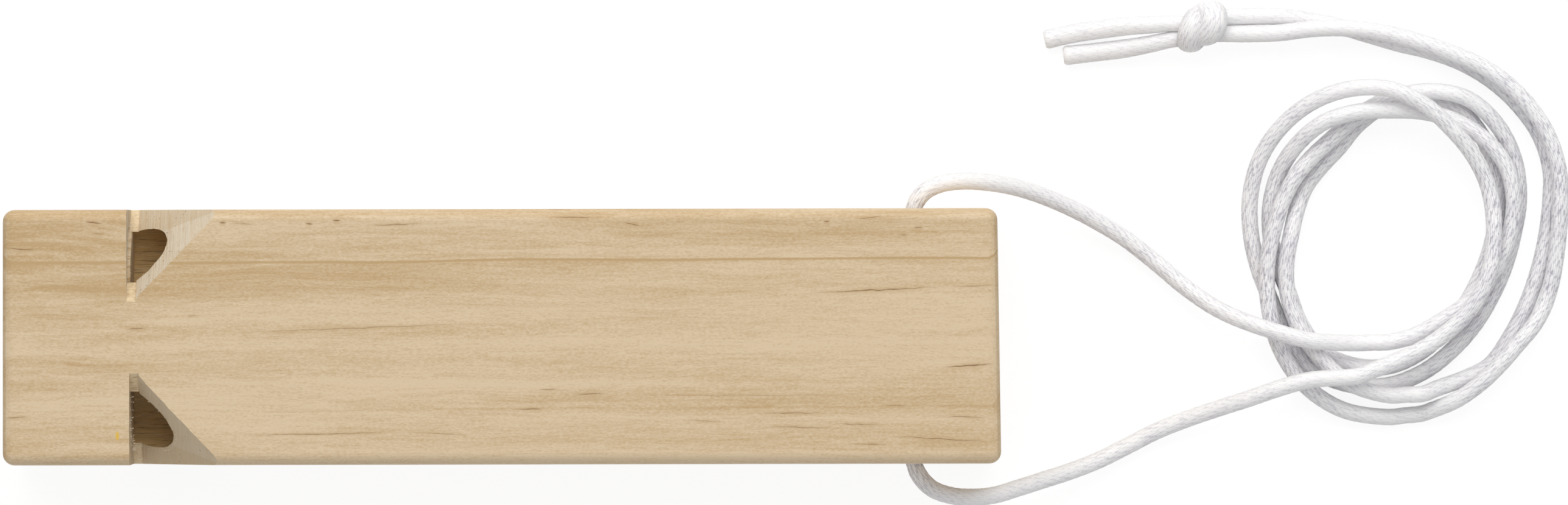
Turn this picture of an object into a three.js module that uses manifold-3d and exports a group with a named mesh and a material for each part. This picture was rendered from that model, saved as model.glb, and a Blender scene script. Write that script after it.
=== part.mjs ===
// A wooden train whistle with a neck cord, in millimetres, +Z up.
// The block lies along X with its blow end at -X, and stands on z = 0 with its middle over the origin.
// Left and right are the player's: left is +Y, right is -Y.
import * as THREE from "three";
import { RoundedBoxGeometry } from "three/addons/geometries/RoundedBoxGeometry.js";
import { mergeVertices } from "three/addons/utils/BufferGeometryUtils.js";
import Module from "manifold-3d";

// Block
const BLOCK_LENGTH = 160;
const BLOCK_WIDTH = 41;
const BLOCK_HEIGHT = 41;
const EDGE_RADIUS = 2;
const EDGE_SEGMENTS = 3;

// Four blind bores drilled from the blow end, one behind each long edge
const BORE_DIAMETER = 12.5;
const BORE_INSET = 8.5; // from each of the two outer faces to the bore's axis
const BORE_DEPTHS = {
  top_left: 128,
  top_right: 116,
  bottom_left: 98,
  bottom_right: 106,
};
const BORE_SIDES = 32;

// Sound windows cut across the long edges, square at the blow end and sloping out behind
const WINDOW_START = 20.4; // from the blow end to the square wall
const WINDOW_REACH = 14.2; // from the long edge, along each of its two faces
const SAW_WIDTH = 1.5; // level floor at the foot of the square wall
const RAMP_LENGTH = 13.7;

// Fipple plugs, dowels that close the bores and leave a flat windway
const PLUG_CLEARANCE = 0.1;
const WINDWAY_HEIGHT = 1.3;

// Cross hole for the cord
const CORD_HOLE_DIAMETER = 4.5;
const CORD_HOLE_FROM_TAIL = 13.7;
const CORD_HOLE_HEIGHT = 20.5;
const MOUTH_CHAMFER = 0.8;

// Cord, one piece that runs through the hole and ends in the knot
const CORD_DIAMETER = 2.6;
const CORD_SIDES = 8;
const END_GAP = 0.3; // between the ends of neighbouring stretches
const BEND_START = 1.3; // how far inside the hole's mouth the cord starts to bend

// Coil of both strands, two turns each, counted from the block's side of the coil
const COIL_MIDDLE = new THREE.Vector2(144.4, 16.5);
const COIL_TURNS = 2;
const HOURS_PER_TURN = 12;
const STEPS_PER_TURN = 24;
const COIL_SIDES = 6;
const LAYER_PITCH = 3.1; // from one layer of cord to the next
const COIL_LIMIT_GAP = 0.4; // the least clear gap that a strand keeps to itself
// Each strand's reach from the coil's middle at every twelfth of a turn, from the side facing -Y,
// with one more value before the coil starts and one after it ends
const REACH = {
  left: [
    17.1,
    17.6, 16.5, 17.6, 19.7, 22.1, 21.4, 20.2, 21.2, 20.6, 19.3, 18.9, 22.0, 21.6,
    18.3, 16.6, 17.3, 20.1, 23.4, 21.3, 16.3, 15.6, 16.0, 19.2, 23.0, 26.3,
    22.0,
  ],
  right: [
    27.2,
    21.1, 18.5, 17.6, 17.0, 18.1, 19.9, 23.6, 25.0, 24.4, 22.5, 22.1, 25.3, 24.7,
    21.5, 19.7, 20.5, 23.9, 25.6, 22.1, 18.3, 18.0, 19.1, 22.8, 28.1, 29.9,
    25.0,
  ],
};
// The layer that each strand lies in at the same places, 0 on the table
const LAYER = {
  left: [
    1.9,
    0.9, 1, 1, 1, 1.05, 1.05, 1.8, 2, 0.4, 0, 0, 0, 0,
    0, 0, 0, 0, 0, 0, 0, 0, 0.8, 1, 1, 1,
    0.4,
  ],
  right: [
    2,
    2, 1.9, 2, 1.7, 1.3, 2.1, 2.5, 1.7, 0.5, 0, 0, 0, 0,
    0, 0, 0, 0, 0.8, 1, 1, 1, 1, 1, 0.6, 0,
    0.5,
  ],
};

// Overhand knot in the doubled cord
const KNOT_PLACE = new THREE.Vector3(113.9, 50.5, 4.3);
const KNOT_WRAP_REACH = 2.65; // from the strands' axis to the middle of a wrap
const KNOT_WRAP_RADIUS = 1.6;
const KNOT_WRAP_SPREAD = 1.9; // each wrap's shift from the knot's middle
const KNOT_WRAP_LEAN = 0.35; // in radians
const KNOT_LENGTH = 7.4;
const KNOT_SIDES = 12;
const KNOT_WRAP_STEPS = 20;

// Finishes
const PINE = { color: 0xd2a566, roughness: 0.62, metalness: 0 };
const DOWEL = { color: 0xdcb57c, roughness: 0.7, metalness: 0 };
const WHITE_CORD = { color: 0xe4e1e3, roughness: 0.5, metalness: 0 };

const LENGTH_AXIS = new THREE.Vector3(1, 0, 0);
const blowEnd = -BLOCK_LENGTH / 2;
const boreRadius = BORE_DIAMETER / 2;
const cordRadius = CORD_DIAMETER / 2;
const holeX = BLOCK_LENGTH / 2 - CORD_HOLE_FROM_TAIL;

const wasm = await Module();
wasm.setup();

// A closed mesh's geometry as a solid, placed by a matrix.
function solid(geometry, matrix = new THREE.Matrix4()) {
  const bare = geometry.clone().applyMatrix4(matrix);
  bare.deleteAttribute("normal");
  bare.deleteAttribute("uv");
  const merged = mergeVertices(bare, 1e-4);
  return new wasm.Manifold(
    new wasm.Mesh({
      numProp: 3,
      vertProperties: new Float32Array(merged.attributes.position.array),
      triVerts: new Uint32Array(merged.index.array),
    }),
  );
}

// A solid's surface as a geometry.
function surface(body) {
  const { vertProperties, triVerts } = body.getMesh();
  const geometry = new THREE.BufferGeometry();
  geometry.setAttribute("position", new THREE.BufferAttribute(vertProperties, 3));
  geometry.setIndex(new THREE.BufferAttribute(triVerts, 1));
  return geometry;
}

// A round bar from one X to another, with a flat face turned to its own +Z and -Z sides.
function barAlongX(radius, fromX, toX, sides) {
  const bar = new THREE.CylinderGeometry(radius, radius, toX - fromX, sides);
  bar.rotateZ(-Math.PI / 2);
  bar.translate((fromX + toX) / 2, 0, 0);
  return bar;
}

// The four long edges: which side of the block each lies on, up or down, left or right.
const CORNERS = {
  top_left: { side: 1, rise: 1 },
  top_right: { side: -1, rise: 1 },
  bottom_left: { side: 1, rise: -1 },
  bottom_right: { side: -1, rise: -1 },
};

// The place of a bore's axis in the block's section.
function boreAxis({ side, rise }) {
  return new THREE.Vector3(
    0,
    side * (BLOCK_WIDTH / 2 - BORE_INSET),
    BLOCK_HEIGHT / 2 + rise * (BLOCK_HEIGHT / 2 - BORE_INSET),
  );
}

// A frame at one long edge: X along the block, Z out through the edge, halfway between its two faces.
function edgeFrame({ side, rise }) {
  const outward = new THREE.Vector3(0, side, rise).normalize();
  const across = new THREE.Vector3().crossVectors(outward, LENGTH_AXIS);
  const frame = new THREE.Matrix4().makeBasis(LENGTH_AXIS, across, outward);
  const edge = new THREE.Vector3(
    blowEnd,
    (side * BLOCK_WIDTH) / 2,
    BLOCK_HEIGHT / 2 + (rise * BLOCK_HEIGHT) / 2,
  );
  return frame.setPosition(edge);
}

// The window's cutter in its edge frame: a square wall, a level floor and a ramp that climbs to the edge.
function windowCutter(corner) {
  const depth = WINDOW_REACH / Math.SQRT2;
  const wall = WINDOW_START;
  const rampFoot = wall + SAW_WIDTH;
  const rampTop = rampFoot + RAMP_LENGTH;
  const clear = EDGE_RADIUS; // how far the cutter stands out of the edge
  const profile = new THREE.Shape();
  profile.moveTo(wall, -depth);
  profile.lineTo(rampFoot, -depth);
  profile.lineTo(rampTop + (RAMP_LENGTH * clear) / depth, clear);
  profile.lineTo(wall, clear);
  const width = 4 * depth;
  const cutter = new THREE.ExtrudeGeometry(profile, { depth: width, bevelEnabled: false });
  cutter.translate(0, 0, -width / 2);
  cutter.rotateX(Math.PI / 2);
  return solid(cutter, edgeFrame(corner));
}

function bore(corner, depth) {
  const overrun = EDGE_RADIUS; // past the blow end's face
  const bar = barAlongX(boreRadius, blowEnd - overrun, blowEnd + depth, BORE_SIDES);
  return solid(bar, new THREE.Matrix4().setPosition(boreAxis(corner)));
}

// The cross hole with a chamfered mouth on each side face.
function cordHole() {
  const halfWidth = BLOCK_WIDTH / 2;
  const radius = CORD_HOLE_DIAMETER / 2;
  const past = EDGE_RADIUS; // beyond each side face
  const profile = [
    [0, -halfWidth - past],
    [radius + MOUTH_CHAMFER + past, -halfWidth - past],
    [radius, -halfWidth + MOUTH_CHAMFER],
    [radius, halfWidth - MOUTH_CHAMFER],
    [radius + MOUTH_CHAMFER + past, halfWidth + past],
    [0, halfWidth + past],
  ];
  const points = profile.map(([across, along]) => new THREE.Vector2(across, along));
  const cutter = new THREE.LatheGeometry(points, BORE_SIDES);
  return solid(cutter, new THREE.Matrix4().setPosition(holeX, 0, CORD_HOLE_HEIGHT));
}

function blockGeometry() {
  const box = new RoundedBoxGeometry(
    BLOCK_LENGTH,
    BLOCK_WIDTH,
    BLOCK_HEIGHT,
    EDGE_SEGMENTS,
    EDGE_RADIUS,
  );
  let body = solid(box, new THREE.Matrix4().setPosition(0, 0, BLOCK_HEIGHT / 2));
  for (const [name, corner] of Object.entries(CORNERS)) {
    body = body.subtract(bore(corner, BORE_DEPTHS[name])).subtract(windowCutter(corner));
  }
  return surface(body.subtract(cordHole()));
}

// A dowel that fills the bore from the blow end to the window, flattened on the side of the long edge.
function plugGeometry(corner) {
  const radius = boreRadius - PLUG_CLEARANCE;
  const dowel = solid(barAlongX(radius, blowEnd, blowEnd + WINDOW_START, BORE_SIDES));
  const flat = boreRadius - WINDWAY_HEIGHT; // from the dowel's axis to its flat
  const waste = new THREE.BoxGeometry(2 * BLOCK_LENGTH, 2 * BORE_DIAMETER, boreRadius);
  waste.translate(0, 0, flat + boreRadius / 2);
  const outward = new THREE.Vector3(0, corner.side, corner.rise).normalize();
  const across = new THREE.Vector3().crossVectors(outward, LENGTH_AXIS);
  const turned = new THREE.Matrix4().makeBasis(LENGTH_AXIS, across, outward);
  return surface(dowel.subtract(solid(waste, turned)));
}

// A smooth curve through evenly spaced values, read at any place between them.
function smoothThrough(values, place) {
  const last = values.length - 1;
  const at = (i) => values[Math.min(Math.max(i, 0), last)];
  const i = Math.min(Math.floor(place), last - 1);
  const t = place - i;
  const slopeIn = (at(i + 1) - at(i - 1)) / 2;
  const slopeOut = (at(i + 2) - at(i)) / 2;
  return (
    at(i) * (2 * t ** 3 - 3 * t ** 2 + 1) +
    slopeIn * (t ** 3 - 2 * t ** 2 + t) +
    at(i + 1) * (3 * t ** 2 - 2 * t ** 3) +
    slopeOut * (t ** 3 - t ** 2)
  );
}

// A strand's centre after some turns of the coil, which runs anticlockwise seen from above.
function coilPoint(strand, turns) {
  const hour = turns * HOURS_PER_TURN;
  const angle = turns * 2 * Math.PI;
  const reach = smoothThrough(REACH[strand], hour + 1);
  const layer = Math.max(smoothThrough(LAYER[strand], hour + 1), 0);
  return new THREE.Vector3(
    COIL_MIDDLE.x + reach * Math.sin(angle),
    COIL_MIDDLE.y - reach * Math.cos(angle),
    cordRadius + layer * LAYER_PITCH,
  );
}

function coilPath(strand) {
  const steps = COIL_TURNS * STEPS_PER_TURN;
  return Array.from({ length: steps + 1 }, (_, i) => coilPoint(strand, i / STEPS_PER_TURN));
}

// The strand's heading along the table where its coil starts or ends.
function coilHeading(strand, turns) {
  const step = 1e-3;
  const from = coilPoint(strand, turns - step);
  const to = coilPoint(strand, turns + step);
  return to.sub(from).setZ(0).normalize();
}

// The coil's centre line with a straight end, one cord diameter long, at each end.
function coilRoute(strand) {
  const path = coilPath(strand);
  const straight = CORD_DIAMETER - END_GAP / 2;
  const start = path[0].clone().addScaledVector(coilHeading(strand, 0), -straight);
  const end = path.at(-1).clone().addScaledVector(coilHeading(strand, COIL_TURNS), straight);
  return [start, ...path, end];
}

// Where a free stretch meets the coil: the joint, and a point that makes its end straight.
function coilJoint(strand, turns) {
  const way = turns === 0 ? -1 : 1;
  const heading = coilHeading(strand, turns).multiplyScalar(way);
  const joint = coilPoint(strand, turns).addScaledVector(heading, CORD_DIAMETER + END_GAP / 2);
  return { joint, beyond: joint.clone().addScaledVector(heading, CORD_DIAMETER) };
}

// A closed tube of a few flat sides along a list of points, its rings carried along without twisting.
function tubeGeometry(points, radius, sides) {
  const corners = [];
  let upright = new THREE.Vector3(0, 0, 1);
  points.forEach((point, i) => {
    const before = points[Math.max(i - 1, 0)];
    const after = points[Math.min(i + 1, points.length - 1)];
    const heading = after.clone().sub(before).normalize();
    const aside = new THREE.Vector3().crossVectors(upright, heading).normalize();
    upright = new THREE.Vector3().crossVectors(heading, aside);
    for (let side = 0; side < sides; side++) {
      const turn = ((side + 0.5) / sides) * 2 * Math.PI;
      const corner = point.clone().addScaledVector(aside, radius * Math.sin(turn));
      corners.push(corner.addScaledVector(upright, radius * Math.cos(turn)));
    }
  });
  const faces = [];
  for (let ring = 0; ring < points.length - 1; ring++) {
    for (let side = 0; side < sides; side++) {
      const a = ring * sides + side;
      const b = ring * sides + ((side + 1) % sides);
      faces.push([a, a + sides, b], [b, a + sides, b + sides]);
    }
  }
  const lastRing = (points.length - 1) * sides;
  for (let side = 1; side < sides - 1; side++) {
    faces.push([0, side, side + 1], [lastRing, lastRing + side + 1, lastRing + side]);
  }
  const geometry = new THREE.BufferGeometry().setFromPoints(corners);
  geometry.setIndex(faces.flat());
  return geometry;
}

// A free stretch of cord along a smooth curve through its points.
function freeStretch(points, steps) {
  const section = new THREE.Shape();
  for (let side = 0; side < CORD_SIDES; side++) {
    const turn = ((side + 0.5) / CORD_SIDES) * 2 * Math.PI;
    const corner = [cordRadius * Math.cos(turn), cordRadius * Math.sin(turn)];
    if (side === 0) section.moveTo(...corner);
    else section.lineTo(...corner);
  }
  const path = new THREE.CatmullRomCurve3(points, false, "centripetal");
  return new THREE.ExtrudeGeometry(section, { steps, bevelEnabled: false, extrudePath: path });
}

const vectors = (rows) => rows.map((row) => new THREE.Vector3(...row));

// Free stretches from the block to the coil, as the cord falls to the table and lies there.
const LEG_POINTS = {
  left: vectors([
    [66.8, 21.5, 20.5], [68.3, 23.4, 20.4], [70.8, 24.6, 20.0], [74.4, 25.1, 18.7], [78.4, 24.9, 16.3],
    [82.3, 24.3, 13.4], [86.3, 23.2, 10.2], [91.4, 21.2, 6.6], [96.4, 18.7, 3.8], [101.4, 15.7, 2.2],
    [106.4, 11.8, 1.8], [111.4, 7.6, 2.8], [116.3, 4.3, 4.6], [121.2, 2.1, 6.5], [126.1, 0.5, 7.8],
    [131.1, -0.8, 7.7],
  ]),
  right: vectors([
    [67.2, -22.3, 20.5], [69.4, -24.7, 20.1], [72.6, -25.9, 18.9], [76.2, -26.2, 16.7], [79.8, -25.9, 13.7],
    [83.4, -24.9, 10.7], [87.4, -23.7, 7.7], [92.0, -22.3, 4.8], [96.8, -20.5, 2.8], [101.5, -18.2, 1.9],
    [106.4, -15.7, 2.0], [111.4, -13.7, 2.9], [116.3, -12.0, 4.4], [121.2, -10.4, 6.0], [126.1, -8.7, 7.2],
    [131.1, -7.3, 7.6],
  ]),
};
const LEG_STEPS = 20;

// Free stretches from the coil round its outside to the knot.
const RUN_POINTS = {
  left: vectors([
    [152.5, -8.6, 3.0], [156.8, -7.1, 1.8], [161.0, -4.9, 1.3], [164.4, -0.2, 1.3], [166.9, 4.7, 1.3],
    [169.1, 11.0, 1.3], [170.4, 17.0, 1.3], [171.0, 22.9, 1.3], [170.9, 27.4, 1.3], [169.1, 32.9, 1.3],
    [165.3, 38.1, 1.3], [161.1, 41.8, 1.3], [156.3, 44.6, 1.3], [151.0, 46.5, 1.3], [146.0, 47.7, 1.3],
    [140.9, 49.2, 1.3], [136.1, 50.6, 1.3], [131.4, 51.5, 1.6], [126.3, 52.1, 3.0],
  ]),
  right: vectors([
    [151.7, -12.2, 1.9], [155.6, -10.5, 3.4], [159.5, -7.7, 4.2], [162.4, -4.9, 4.5], [165.3, -1.6, 4.4],
    [168.1, 1.7, 3.8], [170.0, 5.0, 3.1], [171.3, 9.0, 3.0], [172.2, 14.0, 3.4], [172.6, 18.9, 4.0],
    [172.7, 23.4, 4.2], [172.3, 27.7, 4.2], [170.3, 32.8, 4.2], [167.1, 37.7, 4.2], [163.1, 41.6, 4.3],
    [159.1, 44.2, 4.3], [155.5, 45.8, 4.3], [150.8, 47.5, 4.3], [145.9, 48.9, 4.3], [141.2, 49.8, 4.4],
    [135.9, 50.2, 4.4], [131.2, 50.0, 4.4], [126.3, 49.4, 4.4],
  ]),
};
const RUN_STEPS = 18;

// Tails past the knot, each with a cut end.
const TAIL_POINTS = {
  left: vectors([
    [105.4, 50.7, 4.0], [101.4, 50.5, 3.2], [96.5, 49.9, 2.2], [92.5, 49.3, 1.6], [88.1, 48.3, 1.4],
  ]),
  right: vectors([
    [105.4, 47.6, 3.4], [101.4, 46.9, 2.4], [96.5, 46.3, 1.6], [91.2, 45.7, 1.4],
  ]),
};
const TAIL_STEPS = 3;

const strandSide = (strand) => (strand === "left" ? 1 : -1);

// The straight cord inside the block, which stops where each leg starts to bend.
function holeCordGeometry() {
  const length = BLOCK_WIDTH - 2 * (BEND_START + CORD_DIAMETER) - END_GAP;
  return new THREE.CylinderGeometry(cordRadius, cordRadius, length, CORD_SIDES);
}

function legGeometry(strand) {
  const side = strandSide(strand);
  const bend = side * (BLOCK_WIDTH / 2 - BEND_START);
  const start = new THREE.Vector3(holeX, bend - side * (CORD_DIAMETER - END_GAP / 2), CORD_HOLE_HEIGHT);
  const bendStart = new THREE.Vector3(holeX, bend, CORD_HOLE_HEIGHT);
  const { joint, beyond } = coilJoint(strand, 0);
  return freeStretch([start, bendStart, ...LEG_POINTS[strand], beyond, joint], LEG_STEPS);
}

// The knot's ends: where a strand enters it on the coil's side, and where its tail leaves.
function knotEnd(strand, way) {
  const apart = strandSide(strand) * (cordRadius + END_GAP);
  const along = way * (KNOT_LENGTH / 2 + END_GAP);
  return KNOT_PLACE.clone().add(new THREE.Vector3(along, apart, 0));
}

function straightEnd(end, way) {
  return [end.clone().addScaledVector(LENGTH_AXIS, way * CORD_DIAMETER), end];
}

function runGeometry(strand) {
  const { joint, beyond } = coilJoint(strand, COIL_TURNS);
  const ending = straightEnd(knotEnd(strand, 1), 1);
  return freeStretch([joint, beyond, ...RUN_POINTS[strand], ...ending], RUN_STEPS);
}

function tailGeometry(strand) {
  const [straight, start] = straightEnd(knotEnd(strand, -1), -1);
  return freeStretch([start, straight, ...TAIL_POINTS[strand]], TAIL_STEPS);
}

// The knot: two wraps that lean against each other round the doubled core.
function knotGeometry() {
  const coreRadius = KNOT_WRAP_REACH;
  let body = solid(barAlongX(coreRadius, -KNOT_LENGTH / 2, KNOT_LENGTH / 2, KNOT_SIDES));
  for (const way of [-1, 1]) {
    const wrap = new THREE.TorusGeometry(
      KNOT_WRAP_REACH,
      KNOT_WRAP_RADIUS,
      KNOT_SIDES,
      KNOT_WRAP_STEPS,
    );
    wrap.rotateY(Math.PI / 2 + way * KNOT_WRAP_LEAN);
    wrap.translate(way * KNOT_WRAP_SPREAD, 0, 0);
    body = body.add(solid(wrap));
  }
  return surface(body);
}

// The least clear gap between a strand's turns, measured on the coil's points.
function leastGapToItself(strand) {
  const path = coilPath(strand);
  const apart = Math.ceil(STEPS_PER_TURN / 4);
  let least = Infinity;
  for (let i = 0; i < path.length - 1; i++) {
    const here = new THREE.Line3(path[i], path[i + 1]);
    for (let j = i + apart; j < path.length; j++) {
      const nearest = here.closestPointToPoint(path[j], true, new THREE.Vector3());
      least = Math.min(least, nearest.distanceTo(path[j]) - CORD_DIAMETER);
    }
  }
  return least;
}

function piece(name, geometry, finish, place) {
  const mesh = new THREE.Mesh(geometry, new THREE.MeshStandardMaterial(finish));
  mesh.name = name;
  if (place) mesh.position.copy(place);
  return mesh;
}

const whistle = new THREE.Group();
whistle.add(piece("block", blockGeometry(), PINE));
for (const [name, corner] of Object.entries(CORNERS)) {
  whistle.add(piece(`fipple_plug_${name}`, plugGeometry(corner), DOWEL, boreAxis(corner)));
}

const cord = new THREE.Group();
cord.add(
  piece("cord_in_hole", holeCordGeometry(), WHITE_CORD, new THREE.Vector3(holeX, 0, CORD_HOLE_HEIGHT)),
);
for (const strand of ["left", "right"]) {
  cord.add(piece(`cord_leg_${strand}`, legGeometry(strand), WHITE_CORD));
  const coil = tubeGeometry(coilRoute(strand), cordRadius, COIL_SIDES);
  cord.add(piece(`cord_coil_${strand}`, coil, WHITE_CORD));
  cord.add(piece(`cord_run_${strand}`, runGeometry(strand), WHITE_CORD));
  cord.add(piece(`cord_tail_${strand}`, tailGeometry(strand), WHITE_CORD));
  const gap = leastGapToItself(strand).toFixed(2);
  console.log(`coil, ${strand} strand: least gap to itself ${gap} mm, over ${COIL_LIMIT_GAP} wanted`);
}
cord.add(piece("cord_knot", knotGeometry(), WHITE_CORD, KNOT_PLACE));
whistle.add(cord);

export default whistle;
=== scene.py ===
"""A wooden train whistle with a white neck cord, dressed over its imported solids.

The block lies along X on z = 0 with its blow end at -X. Sizes are in metres unless a name says mm.
"""

import math

import bmesh
import bpy
import numpy as np
from bpy.props import FloatProperty, FloatVectorProperty, IntProperty, PointerProperty
from mathutils import Matrix, Vector, noise


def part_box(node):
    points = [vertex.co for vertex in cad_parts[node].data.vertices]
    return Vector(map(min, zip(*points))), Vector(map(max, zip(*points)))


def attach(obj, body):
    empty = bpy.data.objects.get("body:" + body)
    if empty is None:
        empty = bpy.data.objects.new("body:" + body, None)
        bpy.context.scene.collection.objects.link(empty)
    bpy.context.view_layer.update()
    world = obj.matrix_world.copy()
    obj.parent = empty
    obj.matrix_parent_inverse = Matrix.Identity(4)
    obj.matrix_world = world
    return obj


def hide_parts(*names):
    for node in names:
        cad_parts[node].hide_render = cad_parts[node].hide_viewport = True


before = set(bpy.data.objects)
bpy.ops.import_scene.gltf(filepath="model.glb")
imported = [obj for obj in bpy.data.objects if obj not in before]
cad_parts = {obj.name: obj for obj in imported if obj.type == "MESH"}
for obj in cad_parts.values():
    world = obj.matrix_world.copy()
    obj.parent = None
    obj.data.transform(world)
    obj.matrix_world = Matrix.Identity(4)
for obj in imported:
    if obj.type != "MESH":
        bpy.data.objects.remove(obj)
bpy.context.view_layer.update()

bl_info = {
    "name": "Wooden Train Whistle",
    "version": (1, 0, 0),
    "blender": (4, 5, 0),
    "location": "3D View > Sidebar > Whistle",
    "description": "A pine train whistle with four pipes and a braided neck cord",
    "category": "Add Mesh",
}

MM = 0.001
ROOT = "root"
BLOCK_LOW, BLOCK_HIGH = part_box("block")
BLOCK_SIZE = BLOCK_HIGH - BLOCK_LOW
PLUG_LOW, PLUG_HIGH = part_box("fipple_plug_top_left")
CORD_LOW, CORD_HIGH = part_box("cord_in_hole")

# The four long edges: which side of the block each lies on, left or right, up or down.
CORNERS = {
    "top_left": (1, 1),
    "top_right": (-1, 1),
    "bottom_left": (1, -1),
    "bottom_right": (-1, -1),
}
BORE_DEPTHS = {
    "top_left": 0.128,
    "top_right": 0.116,
    "bottom_left": 0.098,
    "bottom_right": 0.106,
}
# How far each drilled bore runs off its marked place, across the block and up.
BORE_DRIFTS = {
    "top_left": (-0.0008, -0.0003),
    "top_right": (0.0005, 0.0),
    "bottom_left": (-0.0003, 0.0003),
    "bottom_right": (0.0002, 0.0),
}
# How far each window lies off its marked place along the block.
WINDOW_DRIFTS = {
    "top_left": -0.0005,
    "top_right": 0.0,
    "bottom_left": -0.0003,
    "bottom_right": -0.0001,
}

# Coil of both strands, two turns each, as its solids have it.
COIL_MIDDLE = (0.1444, 0.0165)
COIL_TURNS = 2
HOURS_PER_TURN = 12
STEPS_PER_TURN = 24
LAYER_PITCH = 0.0031
# Each strand's reach in mm from the coil's middle at every twelfth of a turn, from the side facing -Y,
# with one more value before the coil starts and one after it ends.
REACH_MM = {
    "left": [
        17.1,
        17.6, 16.5, 17.6, 19.7, 22.1, 21.4, 20.2, 21.2, 20.6, 19.3, 18.9, 22.0, 21.6,
        18.3, 16.6, 17.3, 20.1, 23.4, 21.3, 16.3, 15.6, 16.0, 19.2, 23.0, 26.3,
        22.0,
    ],
    "right": [
        27.2,
        21.1, 18.5, 17.6, 17.0, 18.1, 19.9, 23.6, 25.0, 24.4, 22.5, 22.1, 25.3, 24.7,
        21.5, 19.7, 20.5, 23.9, 25.6, 22.1, 18.3, 18.0, 19.1, 22.8, 28.1, 29.9,
        25.0,
    ],
}
# The layer that each strand lies in at the same places, 0 on the table.
LAYER = {
    "left": [
        1.9,
        0.9, 1, 1, 1, 1.05, 1.05, 1.8, 2, 0.4, 0, 0, 0, 0,
        0, 0, 0, 0, 0, 0, 0, 0, 0.8, 1, 1, 1,
        0.4,
    ],
    "right": [
        2,
        2, 1.9, 2, 1.7, 1.3, 2.1, 2.5, 1.7, 0.5, 0, 0, 0, 0,
        0, 0, 0, 0, 0.8, 1, 1, 1, 1, 1, 0.6, 0,
        0.5,
    ],
}
# Points in mm that each strand follows from the block to the coil.
LEG_POINTS_MM = {
    "left": [
        [66.8, 21.5, 20.5], [68.3, 23.4, 20.4], [70.8, 24.6, 20.0], [74.4, 25.1, 18.7], [78.4, 24.9, 16.3],
        [82.3, 24.3, 13.4], [86.3, 23.2, 10.2], [91.4, 21.2, 6.6], [96.4, 18.7, 3.8], [101.4, 15.7, 2.2],
        [106.4, 11.8, 1.8], [111.4, 7.6, 2.8], [116.3, 4.3, 4.6], [121.2, 2.1, 6.5], [126.1, 0.5, 7.8],
        [131.1, -0.8, 7.7],
    ],
    "right": [
        [67.2, -22.3, 20.5], [69.4, -24.7, 20.1], [72.6, -25.9, 18.9], [76.2, -26.2, 16.7],
        [79.8, -25.9, 13.7], [83.4, -24.9, 10.7], [87.4, -23.7, 7.7], [92.0, -22.3, 4.8],
        [96.8, -20.5, 2.8], [101.5, -18.2, 1.9], [106.4, -15.7, 2.0], [111.4, -13.7, 2.9],
        [116.3, -12.0, 4.4], [121.2, -10.4, 6.0], [126.1, -8.7, 7.2], [131.1, -7.3, 7.6],
    ],
}
# Points in mm that each strand follows from the coil round its outside to the knot.
RUN_POINTS_MM = {
    "left": [
        [152.5, -8.6, 3.0], [156.8, -7.1, 1.8], [161.0, -4.9, 1.3], [164.4, -0.2, 1.3], [166.9, 4.7, 1.3],
        [169.1, 11.0, 1.3], [170.4, 17.0, 1.3], [171.0, 22.9, 1.3], [170.9, 27.4, 1.3], [169.1, 32.9, 1.3],
        [165.3, 38.1, 1.3], [161.1, 41.8, 1.3], [156.3, 44.6, 1.3], [151.0, 46.5, 1.3], [146.0, 47.7, 1.3],
        [140.9, 49.2, 1.3], [136.1, 50.6, 1.3], [131.4, 51.5, 1.6], [126.3, 52.1, 3.0],
    ],
    "right": [
        [151.7, -12.2, 1.9], [155.6, -10.5, 3.4], [159.5, -7.7, 4.2], [162.4, -4.9, 4.5], [165.3, -1.6, 4.4],
        [168.1, 1.7, 3.8], [169.9, 5.0, 3.1], [171.1, 9.0, 3.0], [171.9, 14.0, 3.4], [172.3, 18.9, 4.0],
        [172.4, 23.4, 4.2], [172.0, 27.7, 4.2], [170.3, 32.8, 4.2], [167.1, 37.7, 4.2], [163.1, 41.6, 4.3],
        [159.1, 44.2, 4.3], [155.5, 45.8, 4.3], [150.8, 47.5, 4.3], [145.9, 48.9, 4.3], [141.2, 49.8, 4.4],
        [135.9, 50.2, 4.4], [131.2, 50.0, 4.4], [126.3, 49.4, 4.4],
    ],
}
# The knot's middle in mm, and points from there: along, up the photograph, and above.
KNOT_MM = (113.9, 50.5, 4.3)
# Each strand where it passes through the knot.
CORE_POINTS_MM = {
    "left": [
        [6.6, 1.55, -0.6], [4.0, 1.4, -0.2], [1.5, 0.9, -0.2], [-1.0, 0.4, -0.2], [-3.0, 0.3, 0.1],
        [-5.2, 0.4, 0.1],
    ],
    "right": [
        [6.6, -1.25, 0.0], [4.0, -1.2, 0.0], [1.5, -1.2, -0.2], [-1.0, -1.5, -0.3], [-3.0, -1.9, -0.2],
        [-5.2, -2.2, -0.3],
    ],
}
# The two bights that both strands make round it, with each one's half width in mm.
BIGHTS_MM = [
    (
        2.25,
        [
            [2.4, -1.2, -0.6], [2.3, 0.2, -2.0], [1.7, 1.8, -2.2], [1.2, 2.8, -1.0], [1.1, 2.9, 0.7],
            [1.5, 1.9, 2.2], [1.6, 0.5, 2.8], [1.1, -0.9, 2.5], [0.4, -1.9, 1.5], [-0.2, -2.2, -0.1],
            [-0.2, -1.6, -1.4],
        ],
    ),
    (
        1.9,
        [
            [0.5, 1.0, -1.6], [0.0, 2.0, -0.6], [-0.6, 2.1, 0.8], [-1.2, 1.2, 1.9], [-1.8, -0.2, 2.3],
            [-2.2, -1.5, 2.0], [-2.3, -2.7, 0.9], [-1.9, -3.0, -0.6], [-0.9, -2.1, -1.8], [0.3, -0.8, -2.2],
        ],
    ),
]
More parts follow.
